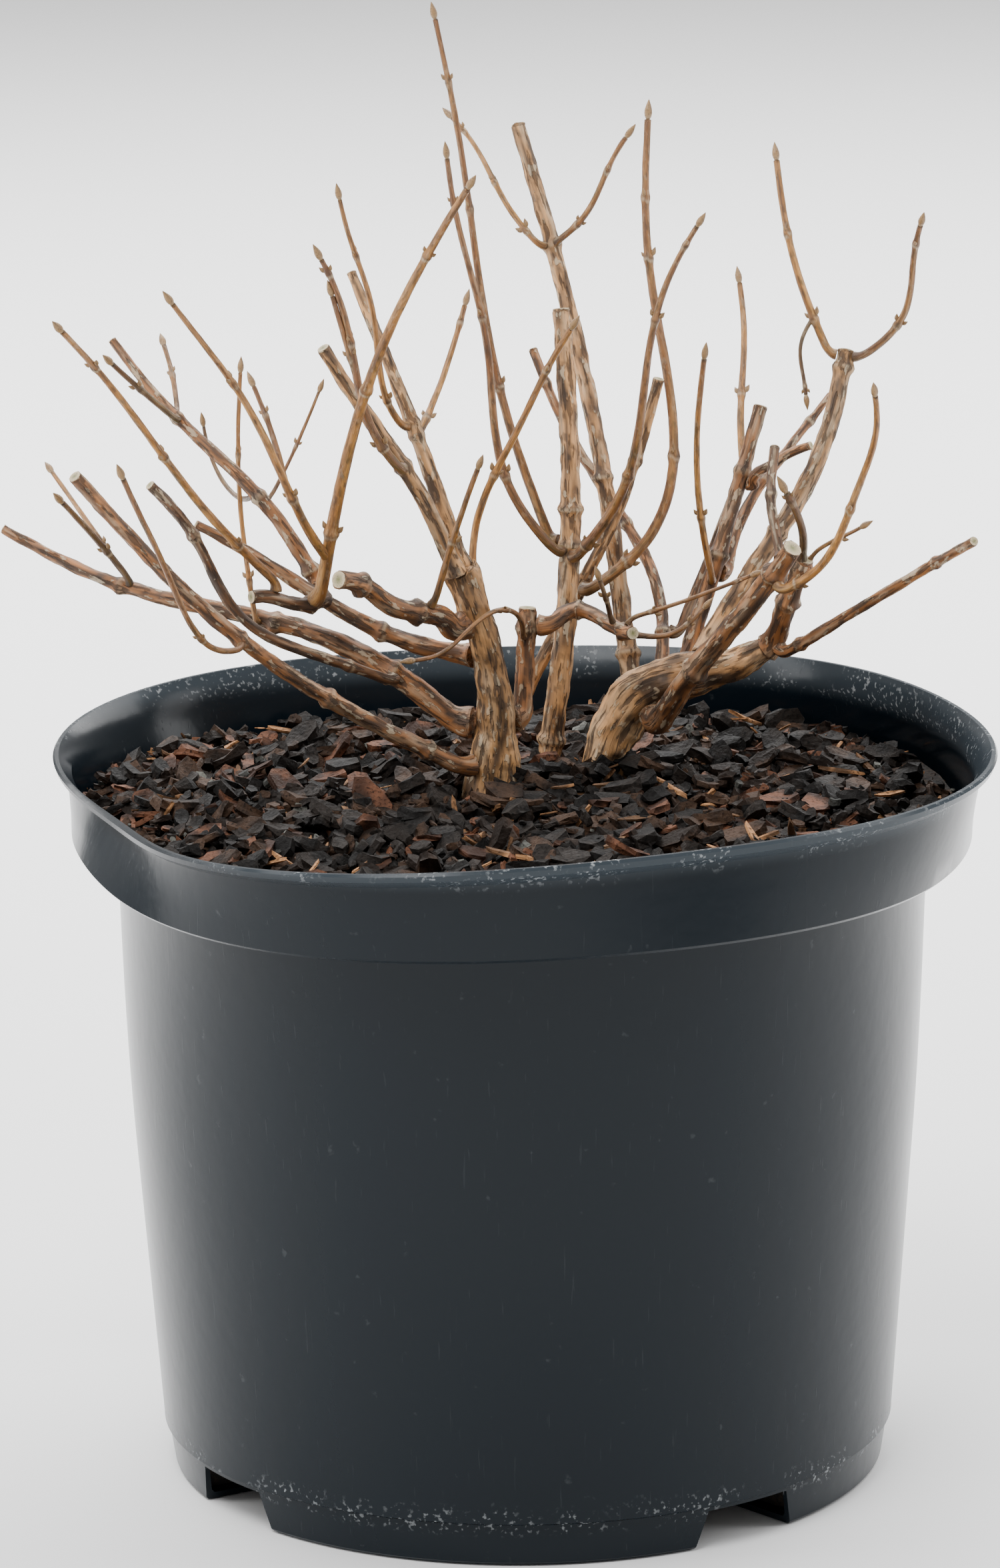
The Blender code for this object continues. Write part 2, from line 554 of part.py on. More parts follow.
def seat(cane, canes):
    """Starts the line of a limb on the ground, inside the limb it is fused to, or GAP clear of its parent."""
    spec = cane.spec
    width = cane.girth(0.0)
    if spec.parent is None:
        foot = Vector((*spec.at, GROUND))
        for rise, flare in FLARE:
            cane.add(foot + Vector((0, 0, rise)), width * flare, 0.0 if rise == 0 else 0.01)
        return cane.points[-1]
    parent = canes[spec.parent]
    axis, tangent, _ = parent.at(spec.at)
    if spec.fused:
        cane.add(axis, width * 0.8, 0.0)
        return axis
    if spec.at == 1.0:
        shift = Vector(spec.out or NONE)
        start = axis + tangent * GAP + shift - tangent * shift.dot(tangent)
        cane.add(start, width, 0.0)
        cane.add(start + tangent * 0.6 * width, width, 0.002)
        return cane.points[-1]
    aim = Vector(spec.out) if spec.out else cane.bend(axis, 0.14) - axis
    aim = (aim - tangent * aim.dot(tangent)).normalized()
    start = axis + aim * (parent.bulge(spec.at, aim, width) + GAP)
    cane.add(start, width, 0.0)
    cane.add(start + aim * (width * 1.15 + KNEE), width * 0.95, 0.002)
    return cane.points[-1]


def tube(name, cane, home):
    """A limb with eight sides where it is thick, six where it is thinner, and four where it is thinnest."""
    thickness = max(cane.radii)
    curve = bpy.data.curves.new(name, "CURVE")
    curve.dimensions = "3D"
    curve.bevel_depth = MM
    curve.bevel_resolution = 2 if thickness > THICK else 1 if thickness > THIN else 0
    curve.use_fill_caps = True
    spline = curve.splines.new("POLY")
    spline.points.add(len(cane.points) - 1)
    for place, point, radius in zip(spline.points, cane.points, cane.radii):
        place.co = (*(point * MM), 1.0)
        place.radius = radius
    obj = bpy.data.objects.new(name, curve)
    home.objects.link(obj)
    return baked(obj, home)


def pull_buds(obj, cane):
    """At each joint two facing corners stand out as buds, turned a quarter from one pair to the next."""
    for order, joint in enumerate(cane.spec.joints):
        centre, along, radius = cane.at(joint)
        first = along.cross(Vector((0.3, 1.0, 0.2))).normalized()
        side = first if order % 2 == 0 else along.cross(first)
        ring = [
            v
            for v in obj.data.vertices
            if abs((v.co / MM - centre).dot(along)) < 0.6 and (v.co / MM - centre).length < 1.6 * radius
        ]
        for sign in (1, -1):
            bud = max(ring, key=lambda v: (v.co / MM - centre).dot(side) * sign, default=None)
            if bud:
                out = (bud.co / MM - centre).normalized()
                bud.co += (out * BUD_OUT + along * 0.6) * MM


def distance_to(cane, point):
    """Smallest distance from a point to the surface of a limb."""
    best = 1e9
    for a, b, ra, rb in zip(cane.points, cane.points[1:], cane.radii, cane.radii[1:]):
        span = b - a
        share = max(0.0, min(1.0, (point - a).dot(span) / span.length_squared))
        best = min(best, (a + span * share - point).length - lerp(ra, rb, share))
    return best


def add_spurs(cane, canes, family, pieces):
    """Short spurs at joints chosen by a seeded rule, left out where one would touch another limb."""
    rule = random.Random(cane.spec.name)
    others = [c for c in canes.values() if c.spec.name not in family]
    for order, joint in enumerate(cane.spec.joints):
        wanted = rule.random() < SPUR_CHANCE
        length = rule.uniform(*SPUR_LENGTH)
        turn = rule.uniform(0.0, 2 * math.pi)
        centre, along, radius = cane.at(joint)
        first = along.orthogonal().normalized()
        side = first * math.cos(turn) + along.cross(first) * math.sin(turn)
        root = centre
        knee = centre + side * (radius + 0.5) + along * length * 0.4
        tip = knee + side * length * 0.2 + along * length * 0.6
        free = all(distance_to(other, p) > SPUR_ROOM for other in others for p in (knee, tip))
        if not wanted or not free or radius < 0.8:
            continue
        spur = Cane(cane.spec, False)
        spur.add(root, 0.45 * radius, 0.0)
        spur.add(knee, 0.36 * radius, 0.5)
        spur.add(tip, 0.14 * radius, 1.0)
        tube(f"{cane.spec.name}_spur_{order}", spur, pieces)


def build_canes(home):
    canes = {}
    for spec in (*STEMS, *BOUGHS, *SHOOTS):
        cane = Cane(spec, spec in SHOOTS)
        foot = seat(cane, canes)
        cane.lay(foot)
        canes[spec.name] = cane
    for spec in (*STEMS, *BOUGHS):
        obj = tube(spec.name, canes[spec.name], home)
        finish(obj, spec.colour, 0.75)
        obj.data.shade_smooth()
        obj.data.set_sharp_from_angle(angle=math.radians(50))
    for mass, family in families().items():
        pieces = collection("pieces")
        for name in family:
            twig = tube(name, canes[name], home if name == mass else pieces)
            pull_buds(twig, canes[name])
            add_spurs(canes[name], canes, family, pieces)
        obj = joined(bpy.data.objects[mass], pieces, "UNION", home)
        bpy.data.collections.remove(pieces)
        finish(obj, canes[mass].spec.colour, 0.55)
        obj.data.shade_smooth()
        obj.data.set_sharp_from_angle(angle=math.radians(50))


def families():
    """Each mass of shoots by its main one, with the twigs that are fused to it."""
    found = {}
    for spec in SHOOTS:
        if not spec.fused:
            found[spec.name] = [spec.name]
            continue
        owner = next(mass for mass, names in found.items() if spec.parent in names)
        found[owner].append(spec.name)
    return found


def main():
    clear_scene()
    home = collection(PLANT)
    cutters = collection("cutters")
    build_pot(home, cutters)
    build_bark(home)
    build_canes(home)
    bpy.data.collections.remove(cutters)


main()
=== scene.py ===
"""Looks of a pruned flowering shrub in winter, bare of leaves, in a round nursery pot topped with bark.

Sizes are in millimetres, and MM turns them into metres. The canes, the pot and the bark follow the rules of
the solid model, written again here, and are carried to finer relief, buds, cut ends and loose chips.
"""

import json
import math
import random
from collections import namedtuple

import bmesh
import bpy
from bpy.props import FloatProperty, FloatVectorProperty, IntProperty, PointerProperty
from mathutils import Matrix, Vector, noise

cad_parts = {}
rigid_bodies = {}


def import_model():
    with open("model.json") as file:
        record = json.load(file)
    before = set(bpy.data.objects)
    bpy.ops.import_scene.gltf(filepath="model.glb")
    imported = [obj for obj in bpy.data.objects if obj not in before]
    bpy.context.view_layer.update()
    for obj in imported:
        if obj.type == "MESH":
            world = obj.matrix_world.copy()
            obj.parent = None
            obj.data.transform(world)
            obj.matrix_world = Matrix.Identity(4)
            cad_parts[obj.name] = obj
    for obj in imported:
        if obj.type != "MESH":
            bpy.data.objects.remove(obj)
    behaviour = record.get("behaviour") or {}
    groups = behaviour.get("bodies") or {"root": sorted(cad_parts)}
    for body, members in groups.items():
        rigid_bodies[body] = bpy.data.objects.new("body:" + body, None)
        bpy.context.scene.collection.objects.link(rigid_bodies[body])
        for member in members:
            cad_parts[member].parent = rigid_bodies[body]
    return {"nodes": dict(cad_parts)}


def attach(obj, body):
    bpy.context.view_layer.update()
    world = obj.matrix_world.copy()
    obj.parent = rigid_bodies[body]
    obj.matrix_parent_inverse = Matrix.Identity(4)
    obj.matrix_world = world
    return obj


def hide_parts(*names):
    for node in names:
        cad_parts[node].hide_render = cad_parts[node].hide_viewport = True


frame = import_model()

bl_info = {
    "name": "Potted winter shrub",
    "version": (1, 0, 0),
    "blender": (4, 5, 0),
    "location": "View3D > Sidebar > Shrub",
    "description": "Dresses a pruned shrub in its nursery pot",
    "category": "Object",
}

MM = 0.001
GAP = 0.3

# Pot: a thin wall that steps out to a band, then flares to a lip
POT_HEIGHT = 229.0
LIP_RADIUS = 150.0
LIP_WIDTH = 2.4
BAND_RADIUS = 146.0
BAND_DROOP = 1.0
BAND_HEIGHT = 29.5
BODY_RADIUS = 130.6
SEAM_RADIUS = 117.2
SEAM_HEIGHT = 14.6
FOOT_RADIUS = 114.0
WALL = 1.8
FLOOR = 2.2

# The mouth has sprung out of round and out of level: (cosine, sine) of 1, 2, 3 and 4 waves round it
MOUTH_OUT = ((-0.4, -0.6), (2.8, 4.0), (4.8, -3.4), (-2.2, -6.4))
MOUTH_UP = ((-2.4, 6.0), (2.0, 0.7), (1.0, -1.6))
BAND_OUT = ((0.0, 0.0), (-0.2, -1.4), (5.6, -0.4), (-2.9, -0.8))
BAND_UP = ((-0.3, -0.2), (-0.5, -0.4), (0.7, 1.2))
ROUND_BELOW = 105.0

# Four channels cross under the base; width and reach are of their inner and outer ends
CHANNEL_HEADINGS = (36.0, 126.0, 216.0, 306.0)
CHANNEL_HEIGHT = 12.5
CHANNEL_WIDTH = (20.0, 42.0)
CHANNEL_SLANT = 4.0
CHANNEL_REACH = (38.0, 130.0)

# Compost with bark on it: level where the stems stand, and lower and uneven towards the wall
GROUND = 211.0
PATCH_CENTRE = (9.0, 34.0)
PATCH_RADIUS = 40.0
BARK_EDGE = 207.0
BARK_BUMP = 2.6

# Canes
SEGMENT = 11.0
JOINT_HALF = 2.4
JOINT_SWELL = 1.3
TIP_BUD = ((-7.0, 1.0), (-5.2, 1.35), (-4.2, 0.9), (-2.4, 1.3), (0.0, 0.2))
FLARE = ((0.0, 1.2), (3.5, 1.06))
KNEE = 0.7

# Fine lines of the canes: their steps, the room an end bud takes, the run of a knee, and what lies buried
STEP = 0.9
BUD_ROOM = 5.6
KNEE_RUN = 4.0
KNEE_STEPS = 9
ROOT_DEPTH = 8.5
ROOT_STEPS = 6

# Swellings of a cane, each how much and over how far: at a joint, at its collar and at the ground
JOINT_BULGE = (0.35, 1.5)
COLLAR_BULGE = (0.30, 1.2)
GROUND_BULGE = (0.14, 4.0)

# Sides of a cane's tube: a cane thicker than STUMP_GIRTH has a stump's
STUMP_GIRTH = 5.5
STUMP_SIDES = 36
BOUGH_SIDES = 20
SHOOT_SIDES = 12

# How far apart the bark of two canes is read, so that no two are alike
PLACE_STEP = 90.0

# The photograph's camera: how far away and how high it stands, where it looks, and its frame in pixels
CAMERA_PLACE = (0.0, -1920.1, 669.96)
CAMERA_PITCH = 13.223
CAMERA_YAW = -0.19
CAMERA_ROLL = -0.762
FOCAL_PIXELS = 9373.0
FRAME_PIXELS = 2351.0
SENSOR = 36.0

# Chips of bark: a kind's share of the count, its length, width and thickness, and its colour
CHIP_KINDS = {
    "black_chips": (0.44, (9.5, 5.8, 2.6), (0.0095, 0.0068, 0.0052)),
    "brown_chips": (0.34, (10.5, 5.2, 2.3), (0.032, 0.0170, 0.0095)),
    "red_chips": (0.09, (12.5, 6.2, 1.8), (0.085, 0.034, 0.017)),
    "tan_splinters": (0.10, (12.0, 1.7, 1.0), (0.260, 0.130, 0.058)),
    "grey_grit": (0.03, (4.5, 3.6, 2.6), (0.080, 0.080, 0.070)),
}
CHIP_SEED = 41
CHIP_FORMS = 7
CHIP_SCALES = (0.35, 0.5, 0.7, 0.9, 1.15, 1.5)
CHIP_TILT = 0.42

# The heap ends at the wall's inner side, and falls off past this share of the way there
INSIDE = BAND_RADIUS - WALL - 0.6
NEAR_WALL = 0.93
WALL_FALL = 8.0

# A pruning cut's share of the cane's radius, and its thickness
CUT_SHARE = 0.90
CUT_THICKNESS = 0.5

# Colours: of scuffed plastic, of a highlight painted along the lip, of the bed, and of wood, bark and buds
SCUFF = (0.36, 0.38, 0.39)
# A paler blue painted along the top of the lip as a highlight
PAINTED_LIP_HIGHLIGHT = (0.060, 0.075, 0.088)
BED_DARK = (0.012, 0.009, 0.007)
BED_PALE = (0.050, 0.030, 0.018)
CUT_WOOD = (0.66, 0.53, 0.34)
PITH = (0.16, 0.17, 0.05)
BUD_BROWN = (0.34, 0.20, 0.085)
WARMTH = (1.18, 0.86, 0.56)
CREAM = (0.62, 0.50, 0.34)
SCAR = (0.50, 0.38, 0.24)
SOOT = (0.045, 0.028, 0.018)
LEAF_GREEN = (0.30, 0.28, 0.08)
CHESTNUT = (0.20, 0.085, 0.035)

PALE = (0.50, 0.36, 0.22)
BROWN = (0.30, 0.17, 0.085)
GOLD = (0.46, 0.27, 0.10)
DARK = (0.14, 0.085, 0.05)

# A limb grows from its parent, at a share of its length, to its tip. Girth is its radius at foot and tip,
# joints are shares of its own length, swell thickens its middle, and out is the side that it leaves by
NONE = (0, 0, 0)
Limb = namedtuple(
    "Limb",
    "name parent at tip bow girth joints colour sway curl swell fused out",
    defaults=((), BROWN, NONE, NONE, 0.0, False, None),
)

# Stems that stand on the ground: here at is the foot
STEMS = (
    Limb("stump_left", None, (-9, 16), (-18, 5, 287), (5, 0, 0), (9.0, 5.6), colour=PALE, swell=-1.8),
    Limb("stump_right", None, (27, 40), (79, 22, 257), (-7, 3, 7), (7.0, 3.8), colour=PALE, sway=(-2, 0, 2),
         curl=(0, 0, -1), swell=2.4),
    Limb("stem_centre", None, (9, 43), (15, 62, 360), (5, -5, 0), (3.9, 2.9), (0.06, 0.49, 0.57), PALE),
    Limb("stem_leaning", None, (-9, 50), (46, 56, 338), (4, 4, -2), (2.5, 1.9), (0.48, 0.8), PALE,
         sway=(-1, 0, 1)),
)

# Woody canes, each cut off at its tip
BOUGHS = (
    Limb("bough_left_low", "stump_left", 0.29, (-165, 55, 292), (3, -6, 5), (3.9, 1.6), (0.16, 0.42, 0.74),
         sway=(2, -1, 5)),
    Limb("bough_left_front", "stump_left", 0.12, (-133, -66, 331), (-7, 1, -7), (2.8, 2.1),
         (0.08, 0.31, 0.53), out=(-9, -7, 0)),
    Limb("bough_left_dark", "bough_left_low", 0.15, (-113, -22, 320), (-8, -1, -9), (1.7, 1.7), (0.15, 0.8),
         DARK, sway=(-1, -1, -1), curl=(2, 0, 1), out=(-3, -12, 0)),
    Limb("bough_left_broken", "stump_left", 0.6, (-101, 12, 301), (-1, 0, -4), (3.2, 1.5), (0.3,),
         sway=(0, 0, -2), out=(-6, 5, 0)),
    Limb("bough_left_cut", "stump_left", 0.78, (-55, -34, 292), (1, 3, 0), (3.6, 2.9), (0.37, 0.82),
         sway=(1, 1, 0), curl=(1, 1, 1)),
    Limb("bough_left_upper", "bough_left_broken", 0.54, (-128, 48, 354), (2, -4, 2), (2.6, 1.4),
         (0.06, 0.34, 0.68), sway=(2, -1, 1), out=(1, 5, 1)),
    Limb("bough_pale_tall", "stump_left", 1.0, (-51, 26, 378), (1, -5, 2), (2.9, 1.6), (0.42, 0.46), PALE,
         out=(0.6, 3.3, 0)),
    Limb("bough_brown_tall", "stump_left", 1.0, (-59, -16, 361), (2, 1, 1), (2.8, 2.1), (0.45,), PALE,
         sway=(1, 0, 0), out=(-1.6, -3.1, 0)),
    Limb("bough_dark_stub", "bough_left_broken", 0.52, (-83, -10, 282), (0, -1, -1), (2.4, 2.1), (0.2,),
         DARK, sway=(0, 0, -1), out=(0, -4, 1)),
    Limb("bough_cross_upright", "stump_left", 0.28, (3, 26, 270), (0, 1, -3), (3.4, 2.9), (0.85,),
         out=(7, 7, 0)),
    Limb("bough_cross_knuckle", "bough_cross_upright", 0.88, (36, 4, 266), (2, 11, 2), (2.7, 2.1),
         (0.32, 0.8), sway=(-1, 3, 2), out=(3, -1, 0)),
    Limb("bough_centre_tall", "stump_right", 0.34, (2, 120, 412), (5, 2, 0), (3.2, 2.4), (0.05, 0.36, 0.78),
         PALE, out=(-1, 7, 2)),
    Limb("bough_back", "stump_right", 0.47, (6, 112, 339), (8, 8, -4), (2.2, 1.5), (0.12, 0.47, 0.9),
         sway=(4, 0, 0), out=(1, 12, 3)),
    Limb("bough_right_front", "stump_right", 0.43, (85, -24, 298), (-1, -1, 0), (3.8, 3.2), (0.33, 0.86),
         sway=(-1, 0, 0), out=(3, -9, -8)),
    Limb("bough_right_tall", "stump_right", 0.68, (107, 76, 343), (6, -3, -2), (3.2, 2.8), (0.4, 0.95),
         PALE, sway=(-1, 0, 1), out=(3, 4, 4)),
    Limb("bough_right_middle", "stump_right", 0.57, (79, 66, 327), (0, -1, -1), (3.0, 2.3), (0.44, 0.76),
         out=(0, 8, 0)),
    Limb("bough_right_spur", "bough_right_middle", 0.72, (94, 44, 318), (-4, 0, 1), (1.8, 1.4),
         sway=(-1, 0, 0), curl=(-1, 0, 0), out=(3, -1, -1)),
    Limb("bough_right_back", "bough_right_middle", 0.38, (103, 98, 325), (-5, 3, 0), (2.3, 1.1),
         (0.52, 0.85), sway=(-1, 0, 0), out=(5, 6, -4)),
    Limb("bough_right_dead", "bough_back", 0.13, (70, 72, 298), (0, 0, -1), (1.8, 1.2), colour=DARK,
         out=(5, 2, -2)),
    Limb("bough_right_knob", "stump_right", 1.0, (90, 4, 289), (-1, -2, -1), (3.6, 3.0), (0.55, 0.92)),
    Limb("bough_right_low", "bough_right_knob", 0.08, (139, -52, 305), (3, 5, 1), (1.9, 1.5), (0.08, 0.78),
         out=(1, -2, -2)),
    Limb("bough_right_stub", "bough_right_front", 0.9, (81, 8, 324), (-2, 0, 0), (1.6, 1.6), (0.55,), DARK,
         out=(1, 5, 4)),
)

# One-year shoots, each ending in a bud: at marks the joint of the bough that each grew from
SHOOTS = (
    Limb("shoots_crown_top", "stem_centre", 0.5, (-25, 58, 459), (-4, 0, -1), (1.6, 0.8), (0.3, 0.62, 0.85),
         sway=(-2, 0, -1), out=(-5, 3, 0)),
    Limb("shoots_crown_left", "stem_centre", 0.48, (-21, 28, 419), (-6, -1, -3), (1.6, 0.8),
         (0.22, 0.59, 0.86), sway=(-3, -1, -1), curl=(-2, 0, -1), out=(-6, -7, 1)),
    Limb("shoots_crown_right", "stem_centre", 0.47, (59, -14, 401), (1, -3, -2), (1.8, 0.8),
         (0.05, 0.29, 0.69, 0.9), sway=(4, -1, -3), out=(3, -9, 1)),
    Limb("shoots_tall_left", "bough_centre_tall", 0.78, (-23, 128, 417), (0, -2, 1), (1.1, 0.7),
         (0.12, 0.45, 0.8), GOLD, sway=(-1, 0, -1), out=(-2, -2, 0)),
    Limb("shoots_tall_right", "bough_centre_tall", 0.78, (40, 92, 415), (1, -1, -1), (1.1, 0.8),
         (0.18, 0.62), sway=(1, 0, -1), out=(3, -6, 3)),
    Limb("shoots_centre_back", "stem_leaning", 0.47, (44, 80, 424), (16, -6, -7), (1.9, 1.1),
         (0.1, 0.34, 0.7, 0.82), sway=(8, 0, -4), curl=(1, 0, -2), out=(2, -5, 0)),
    Limb("shoots_pale_left", "bough_pale_tall", 0.46, (-54, -18, 413), (0, -4, -3), (1.2, 0.7),
         (0.16, 0.73), GOLD, sway=(-1, 0, -1), curl=(-1, 0, -1), out=(-5, -8, 0)),
    Limb("shoots_pale_right", "bough_pale_tall", 0.42, (-14, 46, 370), (0, 2, -4), (1.2, 0.8), (0.14, 0.8),
         GOLD, out=(1, 8, -1)),
    Limb("shoots_brown_pair", "bough_brown_tall", 0.46, (-61, -30, 395), (-1, -2, -2), (1.6, 0.8),
         (0.15, 0.59, 0.87), sway=(-2, -1, -2), out=(0, -10, -1)),
    Limb("brown_pair_twig", "shoots_brown_pair", 0.44, (-57, -27, 384), (0, 0, 0), (1.1, 0.7), (0.25,),
         fused=True),
    Limb("shoots_front_crossing", "bough_dark_stub", 0.2, (-11, -78, 422), (-7, 8, 5), (2.2, 1.0),
         (0.135, 0.455, 0.79), GOLD, out=(4, -2, 3)),
    Limb("front_crossing_fork", "shoots_front_crossing", 0.08, (-106, -52, 385), (4, -2, -1), (1.6, 0.8),
         (0.275, 0.65), GOLD, sway=(0, -2, -2), curl=(0, -1, -1), fused=True),
    Limb("front_crossing_twig", "front_crossing_fork", 0.32, (-83, -8, 353), (1, 1, 0), (1.1, 0.7), (0.6,),
         fused=True),
    Limb("shoots_left_long", "bough_dark_stub", 0.68, (-137, -84, 381), (-2, 3, 0), (1.5, 0.9),
         (0.16, 0.49, 0.82), GOLD, sway=(-1, 0, -1), out=(0, 0, 4)),
    Limb("shoots_left_yellow", "bough_left_low", 0.45, (-87, 46, 349), (-3, 0, 0), (0.9, 0.7), (0.16, 0.63),
         GOLD, out=(-2, -6, -1)),
    Limb("shoots_upper_left", "bough_left_upper", 0.67, (-129, 14, 355), (-1, 2, 0), (1.0, 0.8), (0.45,),
         DARK, out=(-1, -4, 1)),
    Limb("shoots_upper_right", "bough_left_upper", 0.7, (-114, 68, 353), (1, 0, 0), (0.9, 0.8), (0.47,),
         out=(2, 6, -1)),
    Limb("shoots_upper_curl", "bough_left_upper", 0.36, (-101, 64, 328), (-2, 11, -11), (1.0, 0.5),
         colour=DARK, sway=(1, -1, -1), out=(-1, 6, -3)),
    Limb("shoots_upper_thin", "bough_left_upper", 0.32, (-60, 38, 344), (0, 2, -2), (0.7, 0.45), (0.45,),
         out=(4, 5, 1)),
    Limb("shoots_low_left", "bough_left_front", 0.53, (-119, -88, 339), (-3, -4, -8), (1.0, 0.9), (0.25,),
         sway=(-1, -1, -3), curl=(0, 0, -2), out=(2, -9, -5)),
    Limb("shoots_far_left", "bough_left_low", 0.72, (-146, 16, 311), (0, 3, 0), (1.1, 0.9), (0.3,), DARK),
    Limb("far_left_twig", "shoots_far_left", 0.17, (-152, 62, 313), (0, -3, 1), (0.9, 0.7), (0.16,), GOLD,
         fused=True),
    Limb("shoots_cut_bough_front", "bough_left_cut", 0.31, (-10, -30, 330), (-1, 1, -1), (1.2, 0.8),
         (0.42,), GOLD, out=(4, -2, 5)),
    Limb("shoots_cut_bough_back", "stump_left", 0.84, (20, -10, 369), (-6, 8, 3), (1.3, 1.0), (0.39, 0.78),
         GOLD, sway=(-2, 1, 0), curl=(-1, 1, 0), out=(1, 8, 0)),
    Limb("shoots_trailing", "bough_cross_upright", 0.8, (-38, -14, 262), (8, -6, 10), (0.9, 0.65), (0.33,),
         sway=(1, 1, 4), curl=(1, 0, -1), out=(-2, -9, 0)),
    Limb("shoots_middle_left", "bough_right_middle", 0.34, (60, 16, 356), (-4, -1, -1), (1.2, 0.9), (0.28,),
         GOLD, out=(0, -4, 0)),
    Limb("shoots_middle_back", "bough_right_middle", 0.78, (73, 108, 366), (1, 3, -2), (1.3, 0.9), (0.385,),
         GOLD, sway=(-1, 0, 0), out=(0, 4, -1)),
    Limb("shoots_head_left", "bough_right_tall", 0.985, (85, 98, 408), (-3, -3, -2), (1.4, 1.0),
         (0.18, 0.6), GOLD, out=(-3, 0, 0)),
    Limb("head_left_twig", "shoots_head_left", 0.19, (94, 70, 324), (-3, 0, 1), (0.7, 0.6), (0.75,), DARK,
         sway=(-1, 0, 0), fused=True),
    Limb("shoots_head_right", "bough_right_tall", 0.985, (130, 44, 392), (6, 3, -2), (1.3, 0.9),
         (0.27, 0.79), sway=(2, 0, -1), out=(5, -2, 0)),
    Limb("shoots_right_front", "bough_right_front", 0.86, (107, -74, 358), (10, 3, -4), (1.5, 0.9),
         (0.08, 0.45), GOLD, sway=(0, 0, -2), curl=(1, 0, -1), out=(1, -3, -3)),
    Limb("shoots_right_thin", "bough_right_knob", 1, (111, -4, 303), (-1, 0, 0), (0.75, 0.6), (0.5,),
         sway=(-1, 0, 0), out=(2, 1, 0)),
    Limb("shoots_knuckle_long", "bough_cross_knuckle", 0.84, (78, -6, 288), (-1, 0, -1), (0.8, 0.55),
         (0.18, 0.8), out=(2, 1, 6)),
    Limb("shoots_knuckle_low", "bough_cross_knuckle", 0.92, (63, 14, 277), (0, -1, -5), (1.0, 0.5), (0.6,),
         out=(2, 2, -1)),
    Limb("shoots_knuckle_dark", "bough_cross_knuckle", 0.7, (24, 2, 289), (1, -3, -2), (0.9, 0.7), (0.5,),
         DARK, out=(-2, -3, 6)),
    Limb("shoots_right_dark", "bough_right_knob", 1, (81, -12, 318), (3, -3, -1), (1.4, 1.1), (0.75,), DARK,
         out=(-1, -1, 0)),
)


# Settings


class PotSettings(bpy.types.PropertyGroup):
    steps: IntProperty(name="Steps", description="Faces round the pot", default=160, min=40, max=400)
    colour: FloatVectorProperty(
        name="Colour", description="Plastic of the pot", subtype="COLOR", default=(0.0030, 0.0066, 0.0102)
    )
    roughness: FloatProperty(name="Roughness", description="Roughness of the plastic", default=0.20)
    scuffs: FloatProperty(
        name="Scuffs", description="How scuffed the edges are", default=0.75, subtype="FACTOR"
    )


class BarkSettings(bpy.types.PropertyGroup):
    chips: IntProperty(name="Chips", description="Chips on the bark", default=5600, min=0)
    lift: FloatProperty(
        name="Heap", description="How far chips stand above the bed", default=0.0075, unit="LENGTH"
    )


class CaneSettings(bpy.types.PropertyGroup):
    relief: FloatProperty(
        name="Relief", description="Depth of relief on a thick cane", default=0.0009, unit="LENGTH"
    )
    bud: FloatProperty(name="Bud", description="Length of a side bud", default=0.0026, unit="LENGTH")
    end_bud: FloatProperty(name="End bud", description="Length of an end bud", default=0.0064, unit="LENGTH")


class StudioSettings(bpy.types.PropertyGroup):
    floor: FloatVectorProperty(
        name="Floor", description="Colour of the floor", subtype="COLOR", default=(0.94, 0.94, 0.94)
    )
    key: FloatProperty(name="Key light", description="Power of the side lights", default=16.0)
    back: FloatProperty(name="Back light", description="Power of the light behind", default=210.0)
    sky: FloatProperty(name="Sky", description="Strength of the white surroundings", default=0.5)


# Shader expressions


class Wire:
    """A socket that takes part in plain arithmetic."""

    def __init__(self, tree, socket):
        self.tree = tree
        self.socket = socket

    def maths(self, operation, *values):
        return node(self.tree, "ShaderNodeMath", {"operation": operation}, dict(enumerate(values)))

    def __add__(self, other):
        return self.maths("ADD", self, other)

    def __mul__(self, other):
        return self.maths("MULTIPLY", self, other)

    def __sub__(self, other):
        return self.maths("SUBTRACT", self, other)

    def __rsub__(self, other):
        return self.maths("SUBTRACT", other, self)

    __radd__ = __add__
    __rmul__ = __mul__

    def above(self, low, high):
        """0 below low, 1 above high, and smooth between them."""
        ends = {"Value": self, "From Min": low, "From Max": high}
        return node(self.tree, "ShaderNodeMapRange", {"interpolation_type": "SMOOTHSTEP"}, ends, "Result")


def link(tree, value, socket):
    if isinstance(value, Wire):
        tree.links.new(value.socket, socket)
    elif isinstance(value, tuple) and socket.type == "RGBA":
        socket.default_value = (*value, 1.0)
    else:
        socket.default_value = value


def node(tree, kind, settings, sockets, output=0):
    """One node: its settings first, then a value or a link for each socket, by name or by number."""
    made = tree.nodes.new(kind)
    for name, value in settings.items():
        setattr(made, name, value)
    for key, value in sockets.items():
        link(tree, value, made.inputs[key])
    return Wire(tree, made.outputs[output])


def material(name):
    made = bpy.data.materials.new(name)
    made.use_nodes = True
    return made, made.node_tree, made.node_tree.nodes["Principled BSDF"]


def place_of(tree):
    return node(tree, "ShaderNodeTexCoord", {}, {}, "Object")


def carried(tree, name, output):
    """What each point of a mesh carries under this name."""
    return node(tree, "ShaderNodeAttribute", {"attribute_name": name}, {}, output)


def mottle(tree, scale, detail=4.0, stretch=1.0, place=None):
    """Noise of scale bumps per metre at a place, drawn out along Z as stretch falls."""
    if place is None:
        place = place_of(tree)
    if stretch != 1.0:
        place = node(tree, "ShaderNodeMapping", {}, {"Vector": place, "Scale": (1.0, 1.0, stretch)})
    return node(tree, "ShaderNodeTexNoise", {}, {"Vector": place, "Scale": scale, "Detail": detail})


